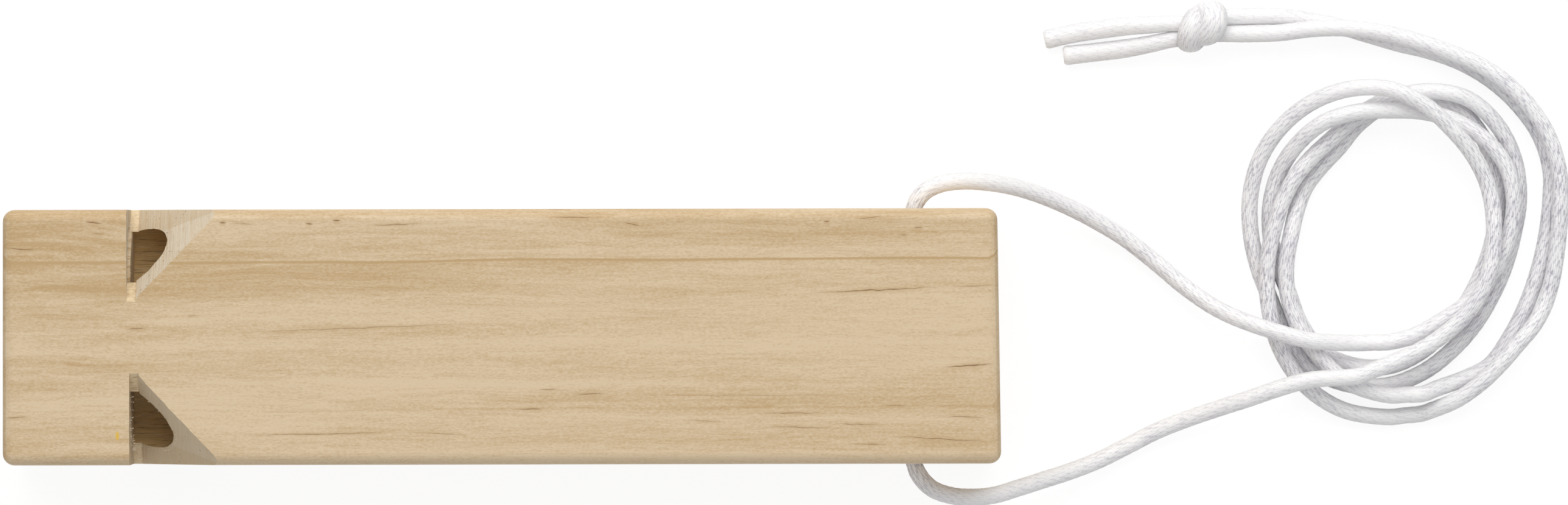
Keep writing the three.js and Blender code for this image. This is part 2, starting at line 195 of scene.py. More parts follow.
# Points in mm along each tail past the knot.
TAIL_POINTS_MM = {
    "left": [[105.4, 50.7, 4.0], [101.4, 50.5, 3.2], [96.5, 49.9, 2.2], [92.5, 49.3, 1.6], [88.1, 48.3, 1.4]],
    "right": [[105.4, 47.6, 3.4], [101.4, 46.9, 2.4], [96.5, 46.3, 1.6], [91.2, 45.7, 1.4]],
}

# Columns of the braid round each bight, which is wider than a strand.
BIGHT_PICKS = 34
# Names of the map that lays the braid out, and of each point's share of a run across the light, which sets
# the painted shade on the satin.
BRAID_MAP = "braid"
PAINTED_SHADE_ATTRIBUTE = "run"

# Steps down a window's square wall, along the level saw cut at its foot, up its ramp, and across them.
WALL_STEPS = 12
KERF_STEPS = 4
RAMP_STEPS = 66
WINDOW_COLUMNS = 84
# Half of a window cutter's width, its height over the edge, and how far the saw cut lies below the ramp.
WINDOW_HALF_WIDTH = 0.0165
WINDOW_OVERCUT = 0.003
KERF_DROP = 0.0003
# How far the round cutters stand out of the block, and how far the cross hole's mouths flare.
CUTTER_OVERRUN = 0.002
HOLE_FLARE = 0.0009
# Sides of the round shapes.
BORE_SIDES = 96
HOLE_SIDES = 48
PLUG_SIDES = 72
# How far a plug clears its bore all round, and how far its ends are eased.
PLUG_CLEARANCE = 0.0001
PLUG_EASE = 0.0003
# A block with fewer faces than this has lost its cuts.
FEWEST_CUT_FACES = 1000
# Places across an opening's rim, and torn fibres at each window.
RIM_POINTS = 61
FIBRES_PER_WINDOW = 110

# Where the tree's middle runs, the radius of its most distinct growth ring, and the rings' spacing.
PITH_Y_MM = -55.0
PITH_Z_MM = -30.0
MAIN_RING_MM = 97.9
RING_WIDTH_MM = 14.5
# Height of the block's top face.
TOP_MM = 41.0
WOOD_IOR = 1.45
KERF_COLOUR = (0.88, 0.74, 0.50)
FIBRE_COLOUR = (0.85, 0.79, 0.66)

# Resin streaks in the top face, in mm: from X, to X, Y at each, width and strength.
STREAKS_MM = [
    (-79.8, -73.9, 14.2, 13.9, 0.1, 0.92), (-66.9, -63.7, 18.4, 18.2, 0.13, 1.0),
    (-65.7, -63.2, 16.6, 16.5, 0.08, 0.69), (-45.3, -43.9, 18.3, 18.2, 0.14, 1.0),
    (-43.9, -39.3, 18.2, 18.1, 0.08, 0.57), (-31.5, -30.0, 18.2, 18.1, 0.12, 0.92),
    (-27.1, -25.6, 18.7, 18.6, 0.14, 1.0), (-21.8, -12.0, 17.8, 18.2, 0.09, 0.92),
    (7.0, 15.6, 19.2, 19.1, 0.12, 0.92), (19.4, 22.7, 18.5, 17.7, 0.1, 0.92),
    (51.7, 52.9, 18.5, 18.5, 0.12, 0.92), (56.8, 61.6, 18.9, 19.3, 0.1, 0.8),
    (66.1, 67.9, 17.5, 17.5, 0.1, 0.92), (63.8, 65.4, 16.3, 16.3, 0.09, 0.69),
    (-60.1, -56.5, 1.2, 1.4, 0.13, 0.8), (-50.6, -48.4, 3.3, 3.4, 0.09, 0.57),
    (-44.2, -1.6, 0.6, 2.2, 0.09, 0.63), (1.9, 7.3, -11.6, -11.5, 0.09, 0.92),
    (5.8, 9.5, -8.6, -8.3, 0.08, 0.69), (11.3, 17.3, -9.3, -9.1, 0.1, 0.8),
    (-41.3, -15.1, -15.8, -15.3, 0.09, 0.8), (-15.1, -3.9, -15.3, -15.8, 0.07, 0.57),
    (-79.9, -75.5, -13.0, -12.9, 0.09, 0.8), (48.2, 72.0, 6.9, 8.1, 0.12, 1.0),
    (72.0, 79.8, 8.1, 8.3, 0.08, 0.69), (70.3, 79.8, -5.0, -4.3, 0.14, 1.0),
    (21.4, 57.5, -9.4, -9.4, 0.07, 0.4), (40.8, 52.7, -12.2, -12.2, 0.09, 0.8),
    (41.1, 54.3, -14.4, -14.7, 0.09, 0.69), (28.8, 36.7, -13.3, -13.7, 0.08, 0.57),
    (53.4, 61.6, -13.9, -14.1, 0.09, 0.69), (60.9, 65.8, -10.9, -11.1, 0.08, 0.57),
    (61.7, 79.8, -15.9, -16.9, 0.09, 0.8), (55.5, 62.5, -17.1, -17.3, 0.09, 0.69),
    (70.1, 78.9, -12.7, -13.0, 0.09, 0.69),
]
# The yellow fleck of paint beside a window.
FLECK_MM = (-61.5, -15.9, TOP_MM)
FLECK_COLOUR = (0.72, 0.45, 0.03)

# The point that the camera looks down on, the floor, and the one lamp.
VIEW_MIDDLE = Vector((0.04544, 0.01352, 0))
FLOOR_REACH = 4.0
FLOOR_TOP = -0.0002
KEY_PLACE = (0.05, 1.08, 1.16)
KEY_SIZE = 1.5
KEY_COLOUR = (1.0, 0.985, 0.96)
WHITE = (1, 1, 1, 1)


# ---- Settings ----


class WhistleBlockSettings(bpy.types.PropertyGroup):
    """Sizes of the pine block and its plugs."""

    edge_radius: FloatProperty(
        name="Edge Radius", description="Rounding of the block's edges", default=0.0019, unit="LENGTH"
    )
    bore_diameter: FloatProperty(
        name="Bore Diameter",
        description="Width of each pipe",
        default=PLUG_HIGH.y - PLUG_LOW.y + 0.0002,
        unit="LENGTH",
    )
    bore_inset: FloatProperty(
        name="Bore Inset",
        description="From each of the two outer faces to a bore's axis",
        default=0.0085,
        unit="LENGTH",
    )
    window_start: FloatProperty(
        name="Window Start",
        description="From the blow end to a window's square wall",
        default=PLUG_HIGH.x - BLOCK_LOW.x,
        unit="LENGTH",
    )
    window_reach: FloatProperty(
        name="Window Reach",
        description="How far a window runs in from its edge",
        default=0.0143,
        unit="LENGTH",
    )
    saw_width: FloatProperty(
        name="Saw Width",
        description="Width of the level saw cut at the wall's foot",
        default=0.0015,
        unit="LENGTH",
    )
    ramp_length: FloatProperty(
        name="Ramp Length", description="Length of the sloping cut behind it", default=0.0137, unit="LENGTH"
    )
    windway_height: FloatProperty(
        name="Windway Height",
        description="Height of the flat air way over a plug",
        default=0.0013,
        unit="LENGTH",
    )
    hole_diameter: FloatProperty(
        name="Cord Hole Diameter", description="Width of the cross hole", default=0.0045, unit="LENGTH"
    )
    lean: FloatProperty(
        name="Lean",
        description="How far the planed block lies off square, as a share of its length",
        default=0.00197,
    )
    end_lean: FloatProperty(
        name="End Lean", description="How far the tail end is cut off square, as a share", default=0.016
    )


class WhistleCordSettings(bpy.types.PropertyGroup):
    """Sizes of the braided cord."""

    diameter: FloatProperty(
        name="Diameter", description="The cord's thickness", default=CORD_HIGH.x - CORD_LOW.x, unit="LENGTH"
    )
    picks_round: IntProperty(name="Picks Round", description="Braid columns round the cord", default=24)
    pick_length: FloatProperty(
        name="Pick Length", description="Length of one pick of the braid", default=0.00136, unit="LENGTH"
    )
    relief: FloatProperty(
        name="Relief", description="Depth of the grooves between picks", default=0.00007, unit="LENGTH"
    )
    twist: FloatProperty(
        name="Twist", description="How fast the columns turn round the cord, per metre", default=55.0
    )


class WhistleFinishSettings(bpy.types.PropertyGroup):
    """Colours of the wood and the cord."""

    pine: FloatVectorProperty(
        name="Pine",
        description="Pale early wood",
        default=(0.69, 0.545, 0.365),
        subtype="COLOR",
        min=0,
        max=1,
    )
    tan: FloatVectorProperty(
        name="Tan", description="Late wood", default=(0.50, 0.34, 0.165), subtype="COLOR", min=0, max=1
    )
    streak: FloatVectorProperty(
        name="Streak",
        description="Resin streaks",
        default=(0.20, 0.095, 0.035),
        subtype="COLOR",
        min=0,
        max=1,
    )
    sawn: FloatVectorProperty(
        name="Sawn", description="Sawn faces", default=(0.68, 0.60, 0.475), subtype="COLOR", min=0, max=1
    )
    drilled: FloatVectorProperty(
        name="Drilled", description="Bore walls", default=(0.66, 0.44, 0.18), subtype="COLOR", min=0, max=1
    )
    dowel: FloatVectorProperty(
        name="Dowel", description="Plugs", default=(0.70, 0.55, 0.37), subtype="COLOR", min=0, max=1
    )
    cord: FloatVectorProperty(
        name="Cord", description="Satin yarn", default=(0.97, 0.96, 0.975), subtype="COLOR", min=0, max=1
    )
    # The grooves' own colour, also painted as shade on the satin where the cord runs across the light.
    cord_shade: FloatVectorProperty(
        name="Cord Shade",
        description="Grooves between the yarns",
        default=(0.43, 0.42, 0.475),
        subtype="COLOR",
        min=0,
        max=1,
    )


class WhistleStageSettings(bpy.types.PropertyGroup):
    """Camera, light and ground."""

    camera_height: FloatProperty(
        name="Camera Height", description="Of the lens above the ground", default=1.935, unit="LENGTH"
    )
    lens: FloatProperty(name="Lens", description="Focal length in mm", default=271.1)
    key: FloatProperty(
        name="Key Light", description="Power of the soft light from +Y", default=18.2, unit="POWER"
    )
    fill: FloatProperty(name="Fill Light", description="Strength of the light all round", default=0.55)
    ground: FloatVectorProperty(
        name="Ground", description="The pale floor", default=(0.86, 0.86, 0.86), subtype="COLOR", min=0, max=1
    )


# ---- Shaping helpers ----


def fresh_object(name, vertices, faces, materials=()):
    """A new mesh object in the scene."""
    mesh = bpy.data.meshes.new(name)
    mesh.from_pydata([tuple(v) for v in vertices], [], faces)
    for material in materials:
        mesh.materials.append(material)
    made = bpy.data.objects.new(name, mesh)
    bpy.context.scene.collection.objects.link(made)
    return made


def outward(obj):
    """Turns all of a closed mesh's faces outwards."""
    sheet = bmesh.new()
    sheet.from_mesh(obj.data)
    bmesh.ops.recalc_face_normals(sheet, faces=sheet.faces)
    sheet.to_mesh(obj.data)
    sheet.free()
    return obj


def apply_modifiers(obj):
    """Replaces an object's mesh by what its modifiers make of it."""
    depsgraph = bpy.context.evaluated_depsgraph_get()
    shaped = bpy.data.meshes.new_from_object(obj.evaluated_get(depsgraph), depsgraph=depsgraph)
    obj.modifiers.clear()
    old, obj.data = obj.data, shaped
    shaped.name = obj.name
    bpy.data.meshes.remove(old)


def cut(obj, cutters):
    """Cuts each cutter out of an object, keeping the cutters' materials on the new faces."""
    for cutter in cutters:
        boolean = obj.modifiers.new("cut", "BOOLEAN")
        boolean.object = cutter
        boolean.operation = "DIFFERENCE"
        boolean.solver = "MANIFOLD"
        boolean.material_mode = "TRANSFER"
    apply_modifiers(obj)
    for cutter in cutters:
        bpy.data.objects.remove(cutter)
    return obj


def united(name, whole, other):
    """One closed skin round two objects that overlap."""
    boolean = whole.modifiers.new("unite", "BOOLEAN")
    boolean.object = other
    boolean.operation = "UNION"
    boolean.solver = "MANIFOLD"
    apply_modifiers(whole)
    bpy.data.objects.remove(other)
    whole.name = whole.data.name = name
    return whole


def drop_crumbs(obj):
    """Keeps the largest connected body of a mesh, without the slivers that a cut leaves loose."""
    mesh = bmesh.new()
    mesh.from_mesh(obj.data)
    mesh.verts.ensure_lookup_table()
    bodies, seen = [], set()
    for start in mesh.verts:
        if start.index in seen:
            continue
        body, front = {start.index}, [start]
        while front:
            around = [edge.other_vert(vert) for vert in front for edge in vert.link_edges]
            front = list({vert.index: vert for vert in around if vert.index not in body}.values())
            body.update(vert.index for vert in front)
        seen |= body
        bodies.append(body)
    largest = max(bodies, key=len)
    crumbs = [vert for vert in mesh.verts if vert.index not in largest]
    bmesh.ops.delete(mesh, geom=crumbs, context="VERTS")
    mesh.to_mesh(obj.data)
    mesh.free()


def smooth_by_angle(obj, degrees):
    """Shades smooth, with sharp edges where faces meet at more than an angle."""
    obj.data.shade_smooth()
    obj.data.set_sharp_from_angle(angle=math.radians(degrees))


def even_normals(obj):
    """Keeps large flat faces flat beside rounded edges."""
    weighted = obj.modifiers.new("weighted", "WEIGHTED_NORMAL")
    weighted.keep_sharp = True
    apply_modifiers(obj)


def roughness_at(x, y, z, seed):
    """Smooth noise from -1 to 1 at a place, in its own stretch for each seed."""
    return noise.noise(Vector((x, y, z + 17.3 * seed)))


def settle(obj, block):
    """Leans a wooden piece the way the block was planed and cut."""
    mesh = obj.data
    points = np.empty(len(mesh.vertices) * 3, np.float32)
    mesh.vertices.foreach_get("co", points)
    points = points.reshape(-1, 3)
    x, y = points[:, 0].copy(), points[:, 1].copy()
    tail = np.clip(x / BLOCK_HIGH.x, 0, 1) ** 4
    points[:, 0] = x - block.end_lean * y * tail
    points[:, 1] = y + block.lean * x
    mesh.vertices.foreach_set("co", points.ravel())
    mesh.update()


def finished(obj, slot, *nodes):
    """A piece that rides on the whistle and stands for its solids, which it hides; its slot is not used."""
    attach(obj, ROOT)
    if nodes:
        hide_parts(*nodes)


# ---- Finishes ----


class Sheet:
    """A small hand for adding shader nodes to a tree."""

    def __init__(self, tree):
        self.tree = tree

    def add(self, kind, inputs=None, **settings):
        """A new node with its settings, and its inputs by name or number."""
        node = self.tree.nodes.new(kind)
        for name, value in settings.items():
            setattr(node, name, value)
        for key, value in (inputs or {}).items():
            self.plug(node.inputs[key], value)
        return node

    def plug(self, socket, value):
        """Links another node's output to a socket, or sets the socket's own value."""
        if isinstance(value, bpy.types.NodeSocket):
            self.tree.links.new(value, socket)
        else:
            socket.default_value = value

    def math(self, operation, a, b=0.0, c=0.0, clamp=False):
        return self.add("ShaderNodeMath", {0: a, 1: b, 2: c}, operation=operation, use_clamp=clamp).outputs[0]

    def vector(self, operation, a, b=(0, 0, 0)):
        node = self.add("ShaderNodeVectorMath", {0: a, 1: b}, operation=operation)
        return node.outputs["Value" if operation == "LENGTH" else "Vector"]

    def scaled(self, place, by):
        return self.vector("MULTIPLY", place, by)

    def split(self, vector):
        return self.add("ShaderNodeSeparateXYZ", {"Vector": vector}).outputs

    def joined(self, **axes):
        return self.add("ShaderNodeCombineXYZ", axes).outputs[0]

    def place_mm(self):
        """The place in the object's own space, in mm."""
        return self.scaled(self.add("ShaderNodeTexCoord").outputs["Object"], (1000, 1000, 1000))

    def noise(self, place, detail=2.0, rough=0.5):
        inputs = {"Vector": place, "Scale": 1.0, "Detail": detail, "Roughness": rough}
        return self.add("ShaderNodeTexNoise", inputs).outputs["Fac"]

    def between(self, value, low, high, to_low=0.0, to_high=1.0, smooth=True):
        """Maps the range from low to high onto another one, and holds it there outside."""
        inputs = {"Value": value, "From Min": low, "From Max": high, "To Min": to_low, "To Max": to_high}
        kind = "SMOOTHSTEP" if smooth else "LINEAR"
        return self.add("ShaderNodeMapRange", inputs, interpolation_type=kind).outputs["Result"]

    def mix(self, share, a, b):
        node = self.add("ShaderNodeMix", data_type="RGBA")
        self.plug(node.inputs["Factor"], share)
        self.plug(node.inputs[6], a)
        self.plug(node.inputs[7], b)
        return node.outputs[2]

    def bump(self, height, strength, distance):
        inputs = {"Height": height, "Strength": strength, "Distance": distance}
        return self.add("ShaderNodeBump", inputs).outputs["Normal"]


def rgba(colour):
    """A colour with full alpha, as sockets take it."""
    return (*colour, 1.0)


def new_finish(name, **uniform):
    """A material with one Principled shader, its uniform values set on the shader's own sockets."""
    material = bpy.data.materials.new(name)
    material.use_nodes = True
    shader = material.node_tree.nodes["Principled BSDF"]
    for key, value in uniform.items():
        shader.inputs[key.replace("_", " ")].default_value = value
    return material, Sheet(material.node_tree), shader


def dress(s, shader, colour, height, strength, depth):
    """Gives a shader its colour, and its relief from a height."""
    s.plug(shader.inputs["Base Color"], colour)
    s.plug(shader.inputs["Normal"], s.bump(height, strength, depth))


def growth_rings(s, place, x, y, z):
    """Growth rings round the tree's middle, which lies below and to the right of the block.

    Gives how far the rings waver, their count outwards, their late wood and the dark line that ends each.
    """
    pith_y = s.math("MULTIPLY_ADD", x, 0.006, PITH_Y_MM)
    across = s.joined(Y=s.math("SUBTRACT", y, pith_y), Z=s.math("SUBTRACT", z, PITH_Z_MM))
    waver = s.math("MULTIPLY_ADD", s.noise(s.scaled(place, (0.02, 0.05, 0.05))), 0.9, -0.45)
    radius = s.math("ADD", s.vector("LENGTH", across), waver)
    rings = s.math("DIVIDE", s.math("SUBTRACT", radius, MAIN_RING_MM), RING_WIDTH_MM)
    phase = s.math("FRACT", rings)
    line = s.math("MULTIPLY", s.between(phase, 0.974, 0.990), s.between(phase, 0.992, 0.999, 1.0, 0.0))
    strength = s.math("MULTIPLY_ADD", s.between(rings, -0.75, -0.45), 0.75, 0.25)
    late_wood = s.math("MULTIPLY", s.between(phase, 0.62, 1.0), strength)
    return waver, rings, late_wood, s.math("MULTIPLY", line, strength)


def second_band(s, x, y, waver):
    """A second tan band, which bends down from the main ring towards the blow end."""
    from_middle = s.math("SUBTRACT", x, 7.0)
    bend = s.math("MULTIPLY", s.math("MULTIPLY", from_middle, from_middle), -0.00069)
    past = s.math("SUBTRACT", s.math("ADD", y, waver), s.math("ADD", bend, 12.3))
    band = s.math("MULTIPLY", s.between(past, -7.5, -0.2), s.between(past, -0.1, 0.5, 1.0, 0.0))
    return s.math("MULTIPLY", band, s.between(x, -25.0, 5.0, 1.0, 0.0))


def pine_tone(s, place, x, y, z):
    """How far the wood turns from early to late wood, with its lengthwise dashes and its pores apart."""
    waver, rings, late_wood, ring_line = growth_rings(s, place, x, y, z)
    outer_zone = s.between(rings, -0.05, 0.1)
    blow_end = s.between(x, -62.0, -48.0, 1.0, 0.0)

    # Broad bands, wisps, fine lengthwise lines and short pores.
    bands = s.noise(s.scaled(place, (0.008, 0.17, 0.17)), detail=3.0)
    sway = s.math("MULTIPLY_ADD", s.noise(s.scaled(place, (0.035, 0.12, 0.12))), 3.0, -1.5)
    swayed = s.vector("ADD", place, s.joined(Y=sway, Z=sway))
    wisps = s.noise(s.scaled(swayed, (0.035, 0.75, 0.75)), detail=4.0, rough=0.6)
    lines = s.noise(s.scaled(swayed, (0.06, 2.2, 2.2)), detail=4.0, rough=0.62)
    dashes = s.noise(s.scaled(swayed, (1.7, 4.4, 4.4)), detail=3.0, rough=0.65)
    flecks = s.noise(s.scaled(swayed, (0.22, 2.6, 2.6)), detail=3.0, rough=0.6)
    pores = s.between(s.noise(s.scaled(swayed, (0.55, 7.5, 7.5)), detail=2.0), 0.60, 0.74)
    specks = s.noise(s.scaled(place, (2.2, 6.0, 6.0)), detail=3.0, rough=0.7)

    tone = s.math("MULTIPLY_ADD", s.between(bands, 0.32, 0.72), 0.5, -0.02)
    streaky = s.math("MULTIPLY_ADD", s.math("ADD", outer_zone, blow_end), 0.16, 0.15)
    wisps = s.between(wisps, 0.3, 0.7, -1.0, 1.0, smooth=False)
    tone = s.math("ADD", tone, s.math("MULTIPLY", wisps, streaky))
    for part, swing in ((lines, 0.14), (dashes, 0.34), (flecks, 0.13)):
        tone = s.math("ADD", tone, s.between(part, 0.3, 0.7, -swing, swing, smooth=False))
    weights = (
        (late_wood, 0.32),
        (ring_line, 0.9),
        (outer_zone, 0.17),
        (second_band(s, x, y, waver), 0.26),
        (blow_end, 0.1),
        (pores, 0.22),
    )
    for part, weight in weights:
        tone = s.math("ADD", tone, s.math("MULTIPLY", part, weight))
    tone = s.math("ADD", tone, s.between(specks, 0.3, 0.7, -0.13, 0.13, smooth=False), clamp=True)
    return tone, dashes, pores


def resin_streaks(s, place, wandering, z):
    """Short resin streaks, one by one on the top face and scattered in the rest, and the tan round them."""
    streaks, halos = 0.0, 0.0
    for from_x, to_x, from_y, to_y, width, strength in STREAKS_MM:
        spot = s.add(
            "ShaderNodeMapping",
            {
                "Vector": wandering,
                "Location": ((from_x + to_x) / 2, (from_y + to_y) / 2, TOP_MM),
                "Rotation": (0, 0, math.atan2(to_y - from_y, to_x - from_x)),
                "Scale": ((to_x - from_x) / 2, width, 3.0),
            },
            vector_type="TEXTURE",
        ).outputs[0]
        streaks = s.math("MAXIMUM", streaks, s.between(s.vector("LENGTH", spot), 0.35, 1.0, strength, 0.0))
        around = s.vector("LENGTH", s.scaled(spot, (0.8, 0.16, 1.0)))
        halos = s.math("MAXIMUM", halos, s.between(around, 0.1, 1.0, strength * 0.55, 0.0))
    scattered = s.noise(s.scaled(place, (0.09, 1.5, 1.5)), detail=1.0)
    below_top = s.math("SUBTRACT", 1.0, s.between(z, 39.5, 40.8))
    scatter = s.math("MULTIPLY", s.between(scattered, 0.745, 0.80, 0.0, 0.7), below_top)
    return s.math("MAXIMUM", streaks, scatter), halos


def pine_figure(finish):
    """A group that gives the pine's colour and its grain's height anywhere in the block."""
    group = bpy.data.node_groups.new("pine figure", "ShaderNodeTree")
    group.interface.new_socket("Colour", in_out="OUTPUT", socket_type="NodeSocketColor")
    group.interface.new_socket("Grain", in_out="OUTPUT", socket_type="NodeSocketFloat")
    s = Sheet(group)
    place = s.place_mm()
    x, y, z = s.split(place)
    tone, dashes, pores = pine_tone(s, place, x, y, z)
    colour = s.mix(tone, rgba(finish.pine), rgba(finish.tan))

    wander = s.math("MULTIPLY_ADD", s.noise(s.scaled(place, (0.35, 0.6, 0.6)), detail=2.0), 0.5, -0.25)
    wandering = s.vector("ADD", place, s.joined(Y=wander))
    streaks, halos = resin_streaks(s, place, wandering, z)
    ragged = s.between(s.noise(s.scaled(place, (0.8, 5.0, 5.0)), detail=2.0), 0.35, 0.6, 0.55, 1.0)
    colour = s.mix(halos, colour, rgba(finish.tan))
    colour = s.mix(s.math("MULTIPLY", streaks, ragged), colour, rgba(finish.streak))
    from_fleck = s.vector("LENGTH", s.scaled(s.vector("SUBTRACT", wandering, FLECK_MM), (2.6, 1.1, 0.3)))
    colour = s.mix(s.between(from_fleck, 0.5, 1.0, 0.8, 0.0), colour, rgba(FLECK_COLOUR))

    grain = s.math("ADD", s.math("MULTIPLY", dashes, 1.2), s.math("MULTIPLY", pores, -0.5))
    grain = s.math("SUBTRACT", grain, s.math("MULTIPLY", streaks, 0.6))
    s.add("NodeGroupOutput", {"Colour": colour, "Grain": grain})
    return group


def figure_of(s, group):
    """The colour and the grain's height that the pine figure gives in a material."""
    node = s.add("ShaderNodeGroup", node_tree=group)
    return node.outputs["Colour"], node.outputs["Grain"]


def planed_pine(figure):
    """Bare planed faces along the grain."""
    material, s, shader = new_finish("planed pine", Roughness=0.5, IOR=WOOD_IOR)
    colour, grain = figure_of(s, figure)
    dress(s, shader, colour, grain, 0.4, 0.00006)
    return material


def end_grain_pine(figure, finish):
    """Faces cut across the grain: darker, with fine open pores."""
    material, s, shader = new_finish("end grain pine", Roughness=0.72, IOR=WOOD_IOR)
    colour, _ = figure_of(s, figure)
    place = s.place_mm()
    cells = s.noise(s.scaled(place, (2.0, 9.0, 9.0)), detail=3.0, rough=0.75)
    rays = s.noise(s.scaled(place, (0.5, 5.5, 0.9)), detail=2.0)
    shade = s.math("ADD", s.between(cells, 0.35, 0.65, 0.05, 0.36), s.between(rays, 0.5, 0.75, 0.0, 0.14))
    colour = s.mix(shade, colour, rgba([c * 0.62 for c in finish.tan]))
    dress(s, shader, colour, cells, 0.5, 0.00012)
    return material


def sawn_pine(figure, finish):
    """The windows' cut faces: greyer, with saw lines across the block."""
    material, s, shader = new_finish("sawn pine", Roughness=0.78, IOR=WOOD_IOR)
    colour, _ = figure_of(s, figure)
    place = s.place_mm()
    saw_lines = s.noise(s.scaled(place, (4.6, 0.15, 0.15)), detail=3.0, rough=0.6)
    fuzz = s.noise(s.scaled(place, (5.0, 5.0, 5.0)), detail=3.0, rough=0.7)
    pits = s.between(s.noise(s.scaled(place, (1.4, 2.6, 2.6)), detail=1.0), 0.72, 0.8)
    tone = s.math("ADD", s.between(saw_lines, 0.32, 0.68, 0.42, 1.0), s.between(fuzz, 0.3, 0.7, -0.12, 0.12))
    colour = s.mix(tone, colour, rgba(finish.sawn))
    colour = s.mix(s.math("MULTIPLY", pits, 0.6), colour, rgba(finish.streak))
    # Late wood shows as a browner corner beyond a growth ring that crosses each ramp.
    x, y, _ = s.split(place)
    beyond = s.math("SUBTRACT", s.math("ABSOLUTE", y), s.math("MULTIPLY_ADD", x, 0.36, 36.6))
    colour = s.mix(s.between(beyond, -0.15, 0.15, 0.0, 0.3), colour, rgba(finish.tan))
    # Painted shade: the ramps on the player's right face away from the light, and are painted browner all
    # over.
    colour = s.mix(s.between(y, 3.0, -3.0, 0.0, 0.3), colour, rgba(finish.tan))
    height = s.math("ADD", saw_lines, s.math("MULTIPLY_ADD", fuzz, 0.6, s.math("MULTIPLY", pits, -1.0)))
    dress(s, shader, colour, height, 0.8, 0.00014)
    return material


def kerf_pine(figure, finish):
    """The level saw cut at each window's wall: torn pale wood, with dark cracks."""
    material, s, shader = new_finish("kerf pine", Roughness=0.75, IOR=WOOD_IOR)
    colour, _ = figure_of(s, figure)
    place = s.place_mm()
    torn = s.noise(s.scaled(place, (1.2, 2.6, 2.6)), detail=3.0, rough=0.65)
    colour = s.mix(s.between(torn, 0.3, 0.7, 0.15, 0.7), colour, rgba(KERF_COLOUR))
    cracks = s.between(s.noise(s.scaled(place, (0.7, 3.6, 3.6)), detail=2.0), 0.62, 0.72, 0.0, 0.5)
    colour = s.mix(cracks, colour, rgba(finish.streak))
    dress(s, shader, colour, torn, 0.8, 0.0002)
    return material


def drilled_pine(figure, finish):
    """The bores' walls: browned by the drill, torn along the grain."""
    material, s, shader = new_finish("drilled pine", Roughness=0.7, IOR=WOOD_IOR)
    colour, _ = figure_of(s, figure)
    place = s.place_mm()
    torn = s.noise(s.scaled(place, (0.35, 2.4, 2.4)), detail=4.0, rough=0.65)
    colour = s.mix(s.between(torn, 0.3, 0.68, 0.5, 1.0), colour, rgba(finish.drilled))
    cracks = s.noise(s.scaled(place, (0.14, 3.0, 3.0)), detail=4.0, rough=0.6)
    dark = rgba([c * 0.3 for c in finish.drilled])
    colour = s.mix(s.between(cracks, 0.55, 0.62, 0.0, 0.6), colour, dark)
    dress(s, shader, colour, torn, 0.9, 0.0002)
    return material


def dowel_wood(finish):
    """The plugs' turned wood, with growth rings on their ends."""
    material, s, shader = new_finish("dowel wood", Roughness=0.66, IOR=WOOD_IOR)
    place = s.place_mm()
    # The same rings show on all four plugs, mirrored about the block's middle.
    folded = s.vector("ABSOLUTE", s.vector("ADD", place, (0, 0, -TOP_MM / 2)))
    rings = s.vector("LENGTH", s.scaled(s.vector("ADD", folded, (0, -4.0, -17.0)), (0.0, 1.0, 1.0)))
    waver = s.noise(s.scaled(place, (0.05, 0.3, 0.3)))
    phase = s.math("FRACT", s.math("MULTIPLY_ADD", waver, 0.9, s.math("MULTIPLY", rings, 0.62)))
    late = s.math("MULTIPLY", s.between(phase, 0.45, 0.9), s.between(phase, 0.93, 1.0, 1.0, 0.0))
    cells = s.noise(s.scaled(place, (0.6, 6.0, 6.0)), detail=3.0, rough=0.7)
    tone = s.math("ADD", s.math("MULTIPLY", late, 0.75), s.between(cells, 0.3, 0.7, -0.05, 0.25), clamp=True)
    colour = s.mix(tone, rgba(finish.dowel), rgba(finish.tan))
    dress(s, shader, colour, cells, 0.4, 0.0001)
    return material


def torn_fibre(finish):
    """Pale fibres torn up by the saw and the drill."""
    material, s, shader = new_finish("torn fibre", Roughness=0.8, IOR=WOOD_IOR)
    tone = s.noise(s.scaled(s.place_mm(), (1.5, 3.0, 3.0)))
    s.plug(shader.inputs["Base Color"], s.mix(tone, rgba(FIBRE_COLOUR), rgba(finish.pine)))
    return material


